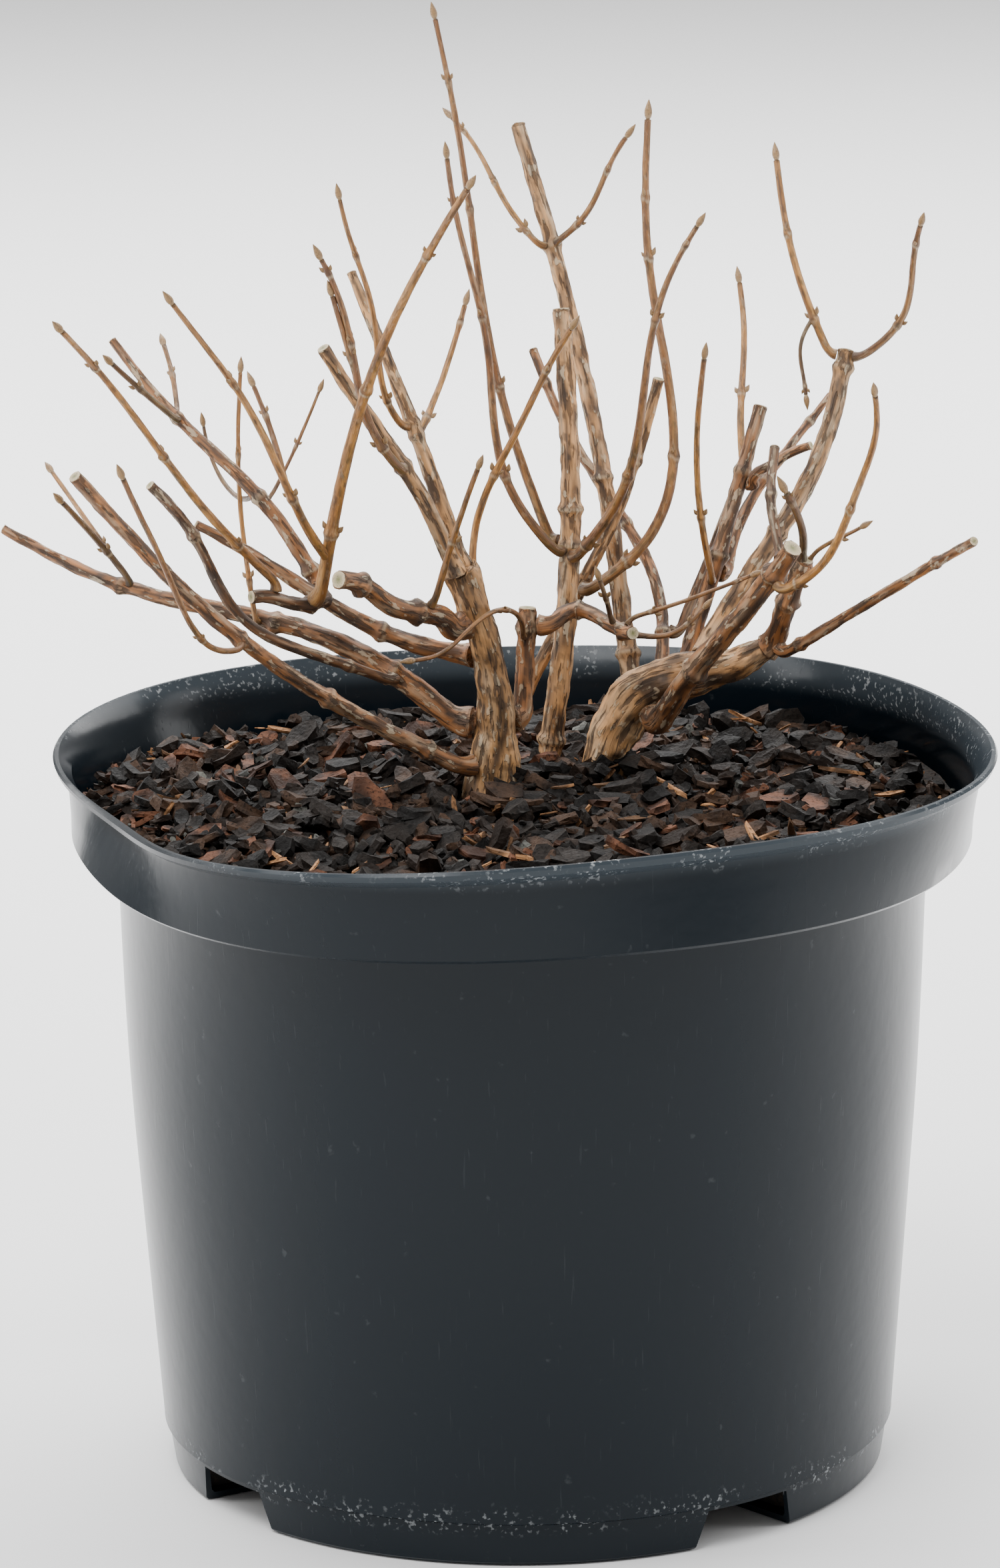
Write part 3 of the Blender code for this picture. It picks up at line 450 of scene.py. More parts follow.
def mixed(tree, share, low, high):
    return node(tree, "ShaderNodeMix", {"data_type": "RGBA"}, {0: share, 6: low, 7: high}, 2)


def coat(tree, surface, colour, roughness, specular=0.5):
    for name, value in (("Base Color", colour), ("Roughness", roughness), ("Specular IOR Level", specular)):
        link(tree, value, surface.inputs[name])


def relief(tree, surface, height, strength, distance):
    sockets = {"Strength": strength, "Distance": distance, "Height": height}
    link(tree, node(tree, "ShaderNodeBump", {}, sockets, "Normal"), surface.inputs["Normal"])


def pot_plastic():
    settings = bpy.context.scene.shrub_pot
    made, tree, surface = material("pot_plastic")
    height = node(tree, "ShaderNodeSeparateXYZ", {}, {0: place_of(tree)}, "Z")
    lip = height.above((POT_HEIGHT - 8.0) * MM, (POT_HEIGHT - 1.5) * MM)
    over_seam = height.above((SEAM_HEIGHT + 0.9) * MM, (SEAM_HEIGHT + 6.4) * MM)
    seam = height.above((SEAM_HEIGHT - 5.6) * MM, (SEAM_HEIGHT - 1.1) * MM) * (1 - over_seam)
    flecks = mottle(tree, 640.0, 6.0).above(0.56, 0.66)
    worn = mottle(tree, 60.0, 3.0).above(0.40, 0.62)
    scratches = mottle(tree, 900.0, 3.0, stretch=0.02).above(0.66, 0.74)
    dust = mottle(tree, 210.0, 8.0).above(0.68, 0.76)
    scuffs = flecks * worn * (lip * 0.9 + seam * 0.8) * settings.scuffs
    mark = scuffs + scratches * 0.02 + dust * 0.05
    # The top of the lip is painted halfway to a paler blue: a painted highlight
    plastic = mixed(tree, lip * 0.5, tuple(settings.colour), PAINTED_LIP_HIGHLIGHT)
    rough = mark * 0.45 + mottle(tree, 22.0) * 0.10 + (settings.roughness - 0.04)
    coat(tree, surface, mixed(tree, mark, plastic, SCUFF), rough, 0.2)
    relief(tree, surface, mottle(tree, 160.0, 2.0) + scratches * 0.3, 0.12, 0.0006)
    return made


def bark_bed():
    made, tree, surface = material("bark_bed")
    grain = mottle(tree, 420.0, 8.0)
    coat(tree, surface, mixed(tree, grain.above(0.45, 0.7), BED_DARK, BED_PALE), 0.85)
    relief(tree, surface, grain, 0.9, 0.0015)
    return made


def chip_bark(name, colour):
    made, tree, surface = material(name)
    grain = mottle(tree, 900.0, 6.0)
    dark = tuple(c * 0.35 for c in colour)
    pale = tuple(min(1.0, c * 1.7) for c in colour)
    tone = mixed(tree, mottle(tree, 90.0, 2.0).above(0.40, 0.62), dark, pale)
    coat(tree, surface, mixed(tree, grain.above(0.52, 0.70), tone, dark), grain * 0.5 + 0.45, 0.22)
    relief(tree, surface, grain, 0.8, 0.0006)
    return made


def cane_bark(name, roughness, fine, age):
    """Bark whose colour is dealt out along and round each cane, with fibres, cracks and flakes by age."""
    made, tree, surface = material(name)
    place = carried(tree, "bark_place", "Vector")
    strands = mottle(tree, fine, 6.0, 0.10, place)
    cracks = mottle(tree, fine * 0.45, 5.0, 0.16, place).above(0.54, 0.60)
    flakes = mottle(tree, fine * 0.30, 6.0, 0.45, place).above(0.58, 0.62)
    dealt = carried(tree, "bark_colour", "Color")
    tone = mixed(tree, strands.above(0.46, 0.70) * 0.42, dealt, SOOT)
    tone = mixed(tree, flakes * (0.55 * age), tone, CREAM)
    tone = mixed(tree, cracks * (0.15 + 0.60 * age), tone, SOOT)
    coat(tree, surface, tone, cracks * 0.2 + roughness)
    relief(tree, surface, strands * 0.5 - cracks * age + flakes * (0.8 * age), 0.9, 0.0004)
    return made


def speckled(name, roughness):
    """Colours that the points carry, under fine dark specks: for buds and cut wood."""
    made, tree, surface = material(name)
    speck = mottle(tree, 2200.0, 8.0).above(0.52, 0.68)
    coat(tree, surface, mixed(tree, speck * 0.5, carried(tree, "bark_colour", "Color"), SOOT), roughness)
    relief(tree, surface, speck, 0.5, 0.0002)
    return made


# Pot and bark


def lerp(a, b, share):
    return a + (b - a) * share


def waves(pairs, turn):
    return sum(a * math.cos(k * turn) + b * math.sin(k * turn) for k, (a, b) in enumerate(pairs, start=1))


def sprung(radius, turn, height):
    """(radius, height) of a point of the pot or its filling, after the mouth has sprung out of round."""
    foot = POT_HEIGHT - BAND_HEIGHT
    out, lift = waves(BAND_OUT, turn), waves(BAND_UP, turn)
    if height > foot:
        share = (height - foot) / BAND_HEIGHT
        out, lift = lerp(out, waves(MOUTH_OUT, turn), share), lerp(lift, waves(MOUTH_UP, turn), share)
    else:
        share = max(0.0, (height - ROUND_BELOW) / (foot - ROUND_BELOW)) ** 2
        out, lift = out * share, lift * share
    near = min(1.0, radius / BODY_RADIUS)
    return radius + out * near**2, height + lift * near**8


def placed(name, data):
    obj = bpy.data.objects.new(name, data)
    bpy.context.collection.objects.link(obj)
    return obj


def turned(name, profile, steps):
    mesh = bpy.data.meshes.new(name)
    points = [(radius * MM, 0.0, height * MM) for radius, height in profile]
    mesh.from_pydata(points, [(i, i + 1) for i in range(len(points) - 1)], [])
    obj = placed(name, mesh)
    select_only(obj)
    screw = obj.modifiers.new("turn", "SCREW")
    screw.steps = screw.render_steps = steps
    screw.use_merge_vertices = True
    screw.merge_threshold = 0.00001
    bpy.ops.object.modifier_apply(modifier="turn")
    return obj


def select_only(*objs):
    for obj in list(bpy.context.selected_objects):
        obj.select_set(False)
    for obj in objs:
        obj.select_set(True)
    bpy.context.view_layer.objects.active = objs[0]


def put_right(obj):
    """Merges doubles and turns every face outwards."""
    work = bmesh.new()
    work.from_mesh(obj.data)
    bmesh.ops.remove_doubles(work, verts=work.verts, dist=0.002 * MM)
    bmesh.ops.recalc_face_normals(work, faces=work.faces)
    work.to_mesh(obj.data)
    work.free()


def dress(obj, surface, angle=None):
    """Gives a piece its one material and, with an angle, smooths every edge that is flatter than it."""
    obj.data.materials.clear()
    obj.data.materials.append(surface)
    if angle:
        select_only(obj)
        bpy.ops.object.shade_smooth_by_angle(angle=math.radians(angle))


def pot_profile():
    """(radius, height) up the inside from the middle of the floor, over the lip and down the outside."""
    band_foot = POT_HEIGHT - BAND_HEIGHT
    lip_inner = LIP_RADIUS - LIP_WIDTH
    band_low = BAND_RADIUS - BAND_DROOP
    floor_radius = FOOT_RADIUS - WALL
    return [
        (0.0, FLOOR), (floor_radius - 1.0, FLOOR), (floor_radius + 0.2, FLOOR + 1.2),
        (SEAM_RADIUS - WALL - 0.6, SEAM_HEIGHT), (BODY_RADIUS - WALL, band_foot - 1.0),
        (BODY_RADIUS - WALL + 1.6, band_foot + WALL), (band_low - WALL - 1.2, band_foot + WALL),
        (band_low - WALL, band_foot + WALL + 1.2), (BAND_RADIUS - WALL, POT_HEIGHT - 6.0),
        (lip_inner - 0.4, POT_HEIGHT - 1.2), (lip_inner + 0.4, POT_HEIGHT),
        (LIP_RADIUS - 0.7, POT_HEIGHT), (LIP_RADIUS, POT_HEIGHT - 0.8),
        (LIP_RADIUS - 0.4, POT_HEIGHT - 2.6), (BAND_RADIUS + 0.2, POT_HEIGHT - 5.0),
        (BAND_RADIUS, POT_HEIGHT - 7.0), (band_low, band_foot + 0.9), (band_low - 0.9, band_foot),
        (BODY_RADIUS + 0.9, band_foot), (BODY_RADIUS, band_foot - 0.9), (SEAM_RADIUS, SEAM_HEIGHT + 0.9),
        (SEAM_RADIUS, SEAM_HEIGHT - 0.2), (SEAM_RADIUS - 1.2, SEAM_HEIGHT - 1.0), (FOOT_RADIUS, 0.9),
        (FOOT_RADIUS - 0.9, 0.0), (0.0, 0.0),
    ]


def densified(profile, longest):
    """The profile with points added on its long straight runs."""
    made = [profile[0]]
    for (r0, z0), (r1, z1) in zip(profile, profile[1:]):
        count = max(1, math.ceil(math.hypot(r1 - r0, z1 - z0) / longest))
        made += [(r0 + (r1 - r0) * i / count, z0 + (z1 - z0) * i / count) for i in range(1, count + 1)]
    return made


def channel_cutter(heading):
    """A wedge along a channel under the base, narrower inwards and upwards, at degrees from the front."""
    bpy.ops.mesh.primitive_cube_add(size=1.0)
    obj = bpy.context.object
    turn = math.radians(heading)
    out = Vector((math.sin(turn), -math.cos(turn), 0.0))
    side = Vector((math.cos(turn), math.sin(turn), 0.0))
    for vertex in obj.data.vertices:
        outer, top = vertex.co.x > 0, vertex.co.z > 0
        half = CHANNEL_WIDTH[outer] / 2 - (CHANNEL_SLANT if top else 0.0)
        flat = out * CHANNEL_REACH[outer] + side * math.copysign(half, vertex.co.y)
        vertex.co = (flat.x * MM, flat.y * MM, (CHANNEL_HEIGHT if top else -1.0) * MM)
    put_right(obj)
    return obj


class SHRUB_OT_pot(bpy.types.Operator):
    """Turns the pot, springs its mouth out of round and cuts the channels under it"""

    bl_idname = "shrub.pot"
    bl_label = "Pot"

    def execute(self, context):
        pot = turned("nursery_pot", densified(pot_profile(), 9.0), context.scene.shrub_pot.steps)
        put_right(pot)
        for vertex in pot.data.vertices:
            x, y, z = (c / MM for c in vertex.co)
            radius, turn = math.hypot(x, y), math.atan2(x, -y)
            radius, z = sprung(radius, turn, z)
            vertex.co = (radius * math.sin(turn) * MM, -radius * math.cos(turn) * MM, z * MM)
        for heading in CHANNEL_HEADINGS:
            cutter = channel_cutter(heading)
            select_only(pot)
            cut = pot.modifiers.new("channel", "BOOLEAN")
            cut.operation = "DIFFERENCE"
            cut.solver = "EXACT"
            cut.object = cutter
            bpy.ops.object.modifier_apply(modifier="channel")
            bpy.data.objects.remove(cutter)
        dress(pot, pot_plastic(), 32)
        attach(pot, "root")
        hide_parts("pot")
        return {"FINISHED"}


def bark_height(x, y):
    """Height of the bark: level under the stems, then uneven and falling towards the wall."""
    away = math.hypot(x - PATCH_CENTRE[0], y - PATCH_CENTRE[1])
    far = max(0.0, min(1.0, (away - PATCH_RADIUS) / (BAND_RADIUS - PATCH_RADIUS)))
    bump = noise.noise(Vector((x, y, 7.0)) / 31.0) * BARK_BUMP * min(1.0, far * 5, 1.4 - far)
    return GROUND - GAP + (BARK_EDGE - GROUND) * far + bump


def chip_form(size, rule):
    """One rough chip, as a mesh of a few faces."""
    bpy.ops.mesh.primitive_cube_add(size=1.0)
    chip = bpy.context.object
    bpy.ops.object.mode_set(mode="EDIT")
    bpy.ops.mesh.select_all(action="SELECT")
    bpy.ops.mesh.subdivide(number_cuts=1)
    bpy.ops.object.mode_set(mode="OBJECT")
    for vertex in chip.data.vertices:
        round_off = 1.0 - 1.12 * abs(vertex.co.x * vertex.co.y) - 0.12 * rule.random()
        bend = 0.25 * (vertex.co.x * 2) ** 2 * rule.random()
        vertex.co = (
            vertex.co.x * size[0] * round_off * MM,
            (vertex.co.y + 0.16 * (rule.random() - 0.5)) * size[1] * round_off * MM,
            (vertex.co.z * (0.6 + 0.6 * rule.random()) + bend) * size[2] * MM,
        )
    mesh = chip.data
    bpy.data.objects.remove(chip)
    return mesh


class Pile:
    """Many copies of small forms, gathered into one mesh."""

    def __init__(self):
        self.points, self.faces, self.colours = [], [], []

    def add(self, mesh, matrix, colours=None):
        start = len(self.points)
        self.points += [matrix @ v.co for v in mesh.vertices]
        self.faces += [tuple(start + i for i in face.vertices) for face in mesh.polygons]
        if colours:
            self.colours += colours

    def made(self, name, surface, angle=None):
        mesh = bpy.data.meshes.new(name)
        mesh.from_pydata([tuple(p) for p in self.points], [], self.faces)
        obj = placed(name, mesh)
        if self.colours:
            deal_colours(mesh, self.colours)
        dress(obj, surface, angle)
        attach(obj, "root")
        return obj


def deal_places(mesh, places):
    layer = mesh.attributes.new("bark_place", "FLOAT_VECTOR", "POINT")
    layer.data.foreach_set("vector", [value for place in places for value in place])


def deal_colours(mesh, colours):
    layer = mesh.color_attributes.new("bark_colour", "FLOAT_COLOR", "POINT")
    layer.data.foreach_set("color", [value for colour in colours for value in (*colour, 1.0)])


class SHRUB_OT_bark(bpy.types.Operator):
    """Scatters chips of bark, splinters and grit over the bed by a seeded rule"""

    bl_idname = "shrub.bark"
    bl_label = "Bark"

    def execute(self, context):
        settings = context.scene.shrub_bark
        bed = frame["nodes"]["bark_mulch"]
        dress(bed, bark_bed())
        rule = random.Random(CHIP_SEED)
        for kind, (share, size, colour) in CHIP_KINDS.items():
            forms = [chip_form(size, rule) for _ in range(CHIP_FORMS)]
            pile = Pile()
            for _ in range(int(settings.chips * share)):
                turn = rule.uniform(0.0, 2 * math.pi)
                scale = rule.choice(CHIP_SCALES)
                limit = sprung(INSIDE, turn, GROUND)[0] - 0.5 * size[0] * scale
                radius = limit * math.sqrt(rule.random())
                x, y = radius * math.sin(turn), -radius * math.cos(turn)
                heap = settings.lift / MM * rule.random() ** 2
                heap *= 1.0 - WALL_FALL * max(0.0, radius / limit - NEAR_WALL)
                z = bark_height(x, y) + heap + GAP
                tilt = [Matrix.Rotation(rule.gauss(0.0, CHIP_TILT), 4, axis) for axis in "XY"]
                spin = Matrix.Rotation(rule.uniform(0.0, 2 * math.pi), 4, "Z")
                place = Matrix.Translation(Vector((x, y, z)) * MM)
                form = rule.choice(forms)
                pile.add(form, place @ spin @ tilt[0] @ tilt[1] @ Matrix.Scale(scale, 4))
            chips = pile.made(kind, chip_bark(kind, colour))
        return {"FINISHED"}


# Canes


class Cane:
    """The centre line of a limb as it is meshed: points, radii, and how far along each point lies."""

    def __init__(self, spec):
        self.spec = spec
        self.bud = spec in SHOOTS
        self.points, self.radii, self.shares = [], [], []

    def bend(self, foot, share):
        spec = self.spec
        waves_here = [math.sin(k * math.pi * share) for k in (1, 2, 3)]
        point = foot.lerp(Vector(spec.tip), share)
        for bent, wave in zip((spec.bow, spec.sway, spec.curl), waves_here):
            point = point + Vector(bent) * wave
        return point

    def girth(self, share):
        return lerp(*self.spec.girth, share) + self.spec.swell * math.sin(math.pi * share)

    def length(self, foot):
        return sum((self.bend(foot, (i + 1) / 20) - self.bend(foot, i / 20)).length for i in range(20))

    def at(self, share):
        """(point, tangent, radius) on the meshed line."""
        for i in range(len(self.shares) - 1):
            if share <= self.shares[i + 1] or i == len(self.shares) - 2:
                break
        span = self.shares[i + 1] - self.shares[i]
        inside = min(1.0, max(0.0, (share - self.shares[i]) / span))
        point = self.points[i].lerp(self.points[i + 1], inside)
        tangent = (self.points[i + 1] - self.points[i]).normalized()
        return point, tangent, lerp(self.radii[i], self.radii[i + 1], inside)

    def bulge(self, share, aim, reach):
        """How far the surface comes out along aim from the axis at share, within reach of it."""
        axis, tangent, most = self.at(share)
        for step in range(-40, 41):
            point, _, radius = self.at(min(1.0, max(0.0, share + step / 200)))
            if abs((point - axis).dot(tangent)) < reach * 1.2:
                most = max(most, (point - axis).dot(aim) + radius)
        return most

    def add(self, point, radius, share):
        self.points.append(point)
        self.radii.append(radius)
        self.shares.append(share)

    def lay(self, foot):
        """Points from foot to tip, evenly spaced, but closer at swollen joints and at the end bud."""
        length = self.length(foot)
        half = JOINT_HALF / length
        count = max(3, round(length / SEGMENT))
        end = 1.0 + TIP_BUD[0][0] / length if self.bud else 1.0
        stops = {end * i / count: 1.0 for i in range(1, count + 1)}
        for joint in self.spec.joints:
            stops = {s: f for s, f in stops.items() if abs(s - joint) > 1.6 * half or s == end}
            stops.update({joint - half: 1.0, joint: JOINT_SWELL, joint + half: 1.0})
        for share in sorted(s for s in stops if 0.0 < s <= end):
            self.add(self.bend(foot, share), self.girth(share) * stops[share], share)
        if self.bud:
            for back, swell in TIP_BUD[1:]:
                share = 1.0 + back / length
                self.add(self.bend(foot, share), self.girth(1.0) * swell, share)


def seat(cane, canes):
    """Starts a limb's line on the ground, inside the limb it is fused to, or GAP clear of its parent."""
    spec = cane.spec
    width = cane.girth(0.0)
    if spec.parent is None:
        foot = Vector((*spec.at, GROUND))
        for rise, flare in FLARE:
            cane.add(foot + Vector((0, 0, rise)), width * flare, 0.0 if rise == 0 else 0.01)
        return cane.points[-1]
    parent = canes[spec.parent]
    axis, tangent, _ = parent.at(spec.at)
    if spec.fused:
        cane.add(axis, width * 0.8, 0.0)
        return axis
    if spec.at == 1.0:
        shift = Vector(spec.out or NONE)
        start = axis + tangent * GAP + shift - tangent * shift.dot(tangent)
        cane.add(start, width, 0.0)
        cane.add(start + tangent * 0.6 * width, width, 0.002)
        return cane.points[-1]
    aim = Vector(spec.out) if spec.out else cane.bend(axis, 0.14) - axis
    aim = (aim - tangent * aim.dot(tangent)).normalized()
    start = axis + aim * (parent.bulge(spec.at, aim, width) + GAP)
    cane.add(start, width, 0.0)
    cane.add(start + aim * (width * 1.15 + KNEE), width * 0.95, 0.002)
    return cane.points[-1]


def families():
    """Each mass of shoots: its main one, then the twigs that are fused to it."""
    found = []
    for spec in SHOOTS:
        if spec.fused:
            next(names for names in found if spec.parent in names).append(spec.name)
        else:
            found.append([spec.name])
    return found


def all_canes():
    canes = {}
    for spec in (*STEMS, *BOUGHS, *SHOOTS):
        cane = Cane(spec)
        cane.foot = seat(cane, canes)
        cane.lay(cane.foot)
        canes[spec.name] = cane
    return canes


def hump(away, spread):
    """A bell curve: 1 at no distance, and falling off over spread."""
    return math.exp(-((away / spread) ** 2))


def fine_line(cane):
    """Closely spaced (point, radius, share) along a limb, with a rounded knee at its parent."""
    spec, foot, start = cane.spec, cane.foot, cane.points[0]
    seated = spec.parent and not spec.fused
    length = cane.length(foot)
    end = 1.0 - BUD_ROOM / length if cane.bud else 1.0
    knee = 0.0 if spec.fused else min(0.3, KNEE_RUN / length)
    if seated:
        root = start + (start - foot).normalized() * GAP
        after = cane.bend(foot, knee)
        line = []
        for i in range(KNEE_STEPS):
            t = i / KNEE_STEPS
            line.append((root * (1 - t) ** 2 + foot * 2 * t * (1 - t) + after * t * t, knee * t))
    elif spec.fused:
        line = [(foot, 0.0)]
    else:
        buried = Vector((0, 0, ROOT_DEPTH))
        line = [(foot - buried * (1 - i / ROOT_STEPS), 0.0) for i in range(ROOT_STEPS)]
    count = max(4, round(length * (end - knee) / STEP))
    for i in range(0 if seated else 1, count + 1):
        share = knee + (end - knee) * i / count
        line.append((cane.bend(foot, share), share))
    made = []
    for point, share in line:
        rise, spread = JOINT_BULGE
        swell = 1.0 + sum(rise * hump((share - joint) * length, spread) for joint in spec.joints)
        if seated:
            rise, spread = COLLAR_BULGE
            swell += rise * hump((point - start).length, spread * spec.girth[0])
        if spec.parent is None:
            rise, spread = GROUND_BULGE
            swell += rise * math.exp(-max(0.0, point.z - GROUND) / spread)
        made.append((point, cane.girth(share) * swell, share))
    return made, length


def bark_noise(around, along, spread, pace, seed):
    """Noise on the bark: spread sets how fast it changes round the cane, and pace along it."""
    return noise.noise(Vector((math.cos(around) * spread, math.sin(around) * spread, along * pace + seed)))


def name_seed(name, most):
    return sum(ord(letter) for letter in name) % most


def bark_tone(spec, around, along, share, length, shoot):
    """Colour of the bark at a place round and along a limb, laid on coat by coat."""
    seed = name_seed(spec.name, 97)
    streak = bark_noise(around, along, 1.6, 0.045, seed)
    patch = bark_noise(around, along, 1.5, 0.07, seed * 1.7)
    fleck = bark_noise(around, along, 4.0, 0.30, seed * 2.3)
    chalk, stain = (0.4, 1.4) if shoot else (1.0, 3.2)
    coats = [
        (CREAM, min(0.45, (patch - 0.1) * chalk)),
        (SOOT, min(0.85, (-patch - 0.08) * stain)),
        (SOOT, min(0.7, (fleck - 0.15) * 2.6)),
    ]
    if shoot:
        coats += [
            (SOOT, 0.60 * math.exp(-along / 7.0)),
            (LEAF_GREEN, 0.30 * (streak + 0.2)),
            (CHESTNUT, 0.45 * share**2),
        ]
    for joint in spec.joints:
        gap = (share - joint) * length
        coats += [(SCAR, 0.85 * hump(gap + 0.3, 0.45)), (SOOT, 0.55 * hump(gap - 0.9, 0.5))]
    tone = Vector([c * warm * (0.92 + 0.75 * streak) for c, warm in zip(spec.colour, WARMTH)])
    for colour, cover in coats:
        tone = tone.lerp(Vector(colour), max(0.0, cover))
    return tuple(max(0.006, min(1.0, c)) for c in tone)


def bark_tube(cane, sides):
    """One limb as a curve with a bevel, made a mesh, given its relief and its dealt-out colours."""
    shoot, name = cane.bud, cane.spec.name
    depth = bpy.context.scene.shrub_canes.relief
    line, length = fine_line(cane)
    curve = bpy.data.curves.new(name, "CURVE")
    curve.dimensions = "3D"
    curve.bevel_depth = MM
    curve.bevel_resolution = sides // 2 - 2
    curve.use_fill_caps = True
    spline = curve.splines.new("POLY")
    spline.points.add(len(line) - 1)
    for place, (point, radius, _) in zip(spline.points, line):
        place.co = (*(point * MM), 1.0)
        place.radius = radius
    obj = placed(name, curve)
    select_only(obj)
    bpy.ops.object.convert(target="MESH")
    obj = bpy.context.object
    put_right(obj)  # the two caps come with rings of their own
    vertices = obj.data.vertices
    if len(vertices) != sides * len(line):
        raise RuntimeError(f"{name}: {len(vertices)} points, not {sides} x {len(line)}")
    seed = name_seed(name, 61)
    along = 0.0
    colours, places = [], []
    for ring, (point, radius, share) in enumerate(line):
        if ring:
            along += (point - line[ring - 1][0]).length
        rough = 0.12 if shoot else min(2.4, radius / 5.0)
        for k in range(sides):
            around = 2 * math.pi * k / sides
            vertex = vertices[ring * sides + k]
            knob = bark_noise(around, along, 1.0, 0.13, seed)
            crack = abs(bark_noise(around, along, 3.2, 0.12, seed))
            grain = bark_noise(around, along, 7.0, 0.5, seed)
            rise = (1.1 * knob - 0.9 * crack + 0.25 * grain) * rough * depth
            vertex.co += (vertex.co / MM - point).normalized() * rise
            colours.append(bark_tone(cane.spec, around, along, share, length, shoot))
            across, over = math.cos(around) * radius, math.sin(around) * radius
            places.append(Vector((across, over, along + PLACE_STEP * seed)) * MM)
    deal_colours(obj.data, colours)
    deal_places(obj.data, places)
    return obj


def one_piece(canes, family, sides, surface):
    """Joins a node's limbs, of which the first gives its name, into a piece that stands for it."""
    parts = [bark_tube(canes[name], sides) for name in family]
    select_only(*parts)
    if len(parts) > 1:
        bpy.ops.object.join()
    obj = bpy.context.view_layer.objects.active
    obj.name = family[0] + "_bark"
    dress(obj, surface, 60)
    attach(obj, "root")
    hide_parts(family[0])


class SHRUB_OT_canes(bpy.types.Operator):
    """Grows the stumps, stems and woody canes with the relief and colours of their bark"""

    bl_idname = "shrub.canes"
    bl_label = "Woody canes"

    def execute(self, context):
        surface = cane_bark("old_bark", 0.6, 1500.0, 1.0)
        canes = all_canes()
        for spec in (*STEMS, *BOUGHS):
            sides = STUMP_SIDES if max(spec.girth) > STUMP_GIRTH else BOUGH_SIDES
            one_piece(canes, [spec.name], sides, surface)
        return {"FINISHED"}


class SHRUB_OT_shoots(bpy.types.Operator):
    """Grows the one-year shoots and the twigs on them"""

    bl_idname = "shrub.shoots"
    bl_label = "Shoots"

    def execute(self, context):
        surface = cane_bark("young_bark", 0.44, 2400.0, 0.25)
        canes = all_canes()
        for family in families():
            one_piece(canes, family, SHOOT_SIDES, surface)
        return {"FINISHED"}


def bud_form(length, width):
    """A pointed bud of two scales, standing on its base, as a mesh in metres and its colours."""
    bpy.ops.mesh.primitive_uv_sphere_add(segments=12, ring_count=10, radius=1.0)
    bud = bpy.context.object
    colours = []
    for vertex in bud.data.vertices:
        rise = (vertex.co.z + 1.0) / 2.0
        belly = math.sin(math.pi * min(1.0, rise)) ** 0.7 * (1.15 - 0.75 * rise)
        turn = math.atan2(vertex.co.y, vertex.co.x)
        lap = 1.0 + 0.14 * abs(math.cos(turn))
        vertex.co = (math.cos(turn) * belly * width * lap, math.sin(turn) * belly * width, rise * length)
        seam = math.exp(-((math.cos(turn) * 3.0) ** 2)) * (0.3 + 0.7 * rise)
        tone = Vector(BUD_BROWN).lerp(Vector(SOOT), 0.75 * seam)
        tone = tone.lerp(Vector(CREAM), 0.5 * max(0.0, 1.0 - rise * 3.5))
        colours.append(tuple(tone))
    mesh = bud.data
    bpy.data.objects.remove(bud)
    return mesh, colours


class SHRUB_OT_buds(bpy.types.Operator):
    """Sets a pair of buds at each joint and one at the end of each shoot"""

    bl_idname = "shrub.buds"
    bl_label = "Buds"

    def execute(self, context):
        settings = context.scene.shrub_canes
        side = bud_form(settings.bud, settings.bud * 0.30)
        end = bud_form(settings.end_bud, settings.end_bud * 0.21)
        pile = Pile()
        for cane in all_canes().values():
            if cane.bud:
                self.set_buds(pile, cane, side, end)
        buds = pile.made("winter_buds", speckled("bud_scales", 0.45), 50)
        return {"FINISHED"}

    def set_buds(self, pile, cane, side, end):
        line, length = fine_line(cane)
        rule = random.Random(cane.spec.name)
        for order, joint in enumerate(cane.spec.joints):
            if joint * length < 6.0:
                continue
            place = min(range(1, len(line)), key=lambda i: abs(line[i][2] - joint - 0.8 / length))
            centre, radius, _ = line[place]
            along = (centre - line[place - 1][0]).normalized()
            first = along.cross(Vector((0.3, 1.0, 0.2))).normalized()
            across = first if order % 2 == 0 else along.cross(first)
            for sign in (1, -1):
                aim = (along * 1.9 + across * sign).normalized()
                root = centre + across * sign * radius * 0.75
                size = rule.uniform(0.75, 1.25) * min(1.0, 0.45 + radius * 0.4)
                pile.add(side[0], standing(root, aim, across, size), side[1])
        tip, radius, _ = line[-1]
        aim = (tip - line[-3][0]).normalized()
        size = min(1.15, 0.55 + radius * 0.5)
        pile.add(end[0], standing(tip - aim * 0.4, aim, aim.orthogonal(), size), end[1])


def standing(root, aim, across, size):
    """Matrix that stands a form on root, its Z along aim."""
    side = (across - aim * across.dot(aim)).normalized()
    third = aim.cross(side)
    turn = Matrix((side, third, aim)).transposed().to_4x4()
    return Matrix.Translation(root * MM) @ turn @ Matrix.Scale(size, 4)


class SHRUB_OT_cuts(bpy.types.Operator):
    """Faces the pruned end of each woody cane with pale wood, its rim and its pith"""

    bl_idname = "shrub.cuts"
    bl_label = "Pruning cuts"

    def execute(self, context):
        canes = all_canes()
        pile = Pile()
        bpy.ops.mesh.primitive_cylinder_add(vertices=28, radius=1.0, depth=1.0, end_fill_type="TRIFAN")
        disc = bpy.context.object
        rings = [PITH if v.co.xy.length < 0.1 else CUT_WOOD for v in disc.data.vertices]
        taken = {spec.parent for spec in BOUGHS if spec.at == 1.0}
        for spec in (*STEMS, *BOUGHS):
            if spec.name in taken:
                continue
            line, _ = fine_line(canes[spec.name])
            tip, radius, _ = line[-1]
            aim = (tip - line[-4][0]).normalized()
            width = radius * CUT_SHARE * MM
            size = Matrix.Diagonal((width, width, CUT_THICKNESS * MM, 1.0))
            pile.add(disc.data, standing(tip, aim, aim.orthogonal(), 1.0) @ size, rings)
        bpy.data.objects.remove(disc)
        cuts = pile.made("pruning_cuts", speckled("cut_wood", 0.6), 50)
        return {"FINISHED"}


# Stage


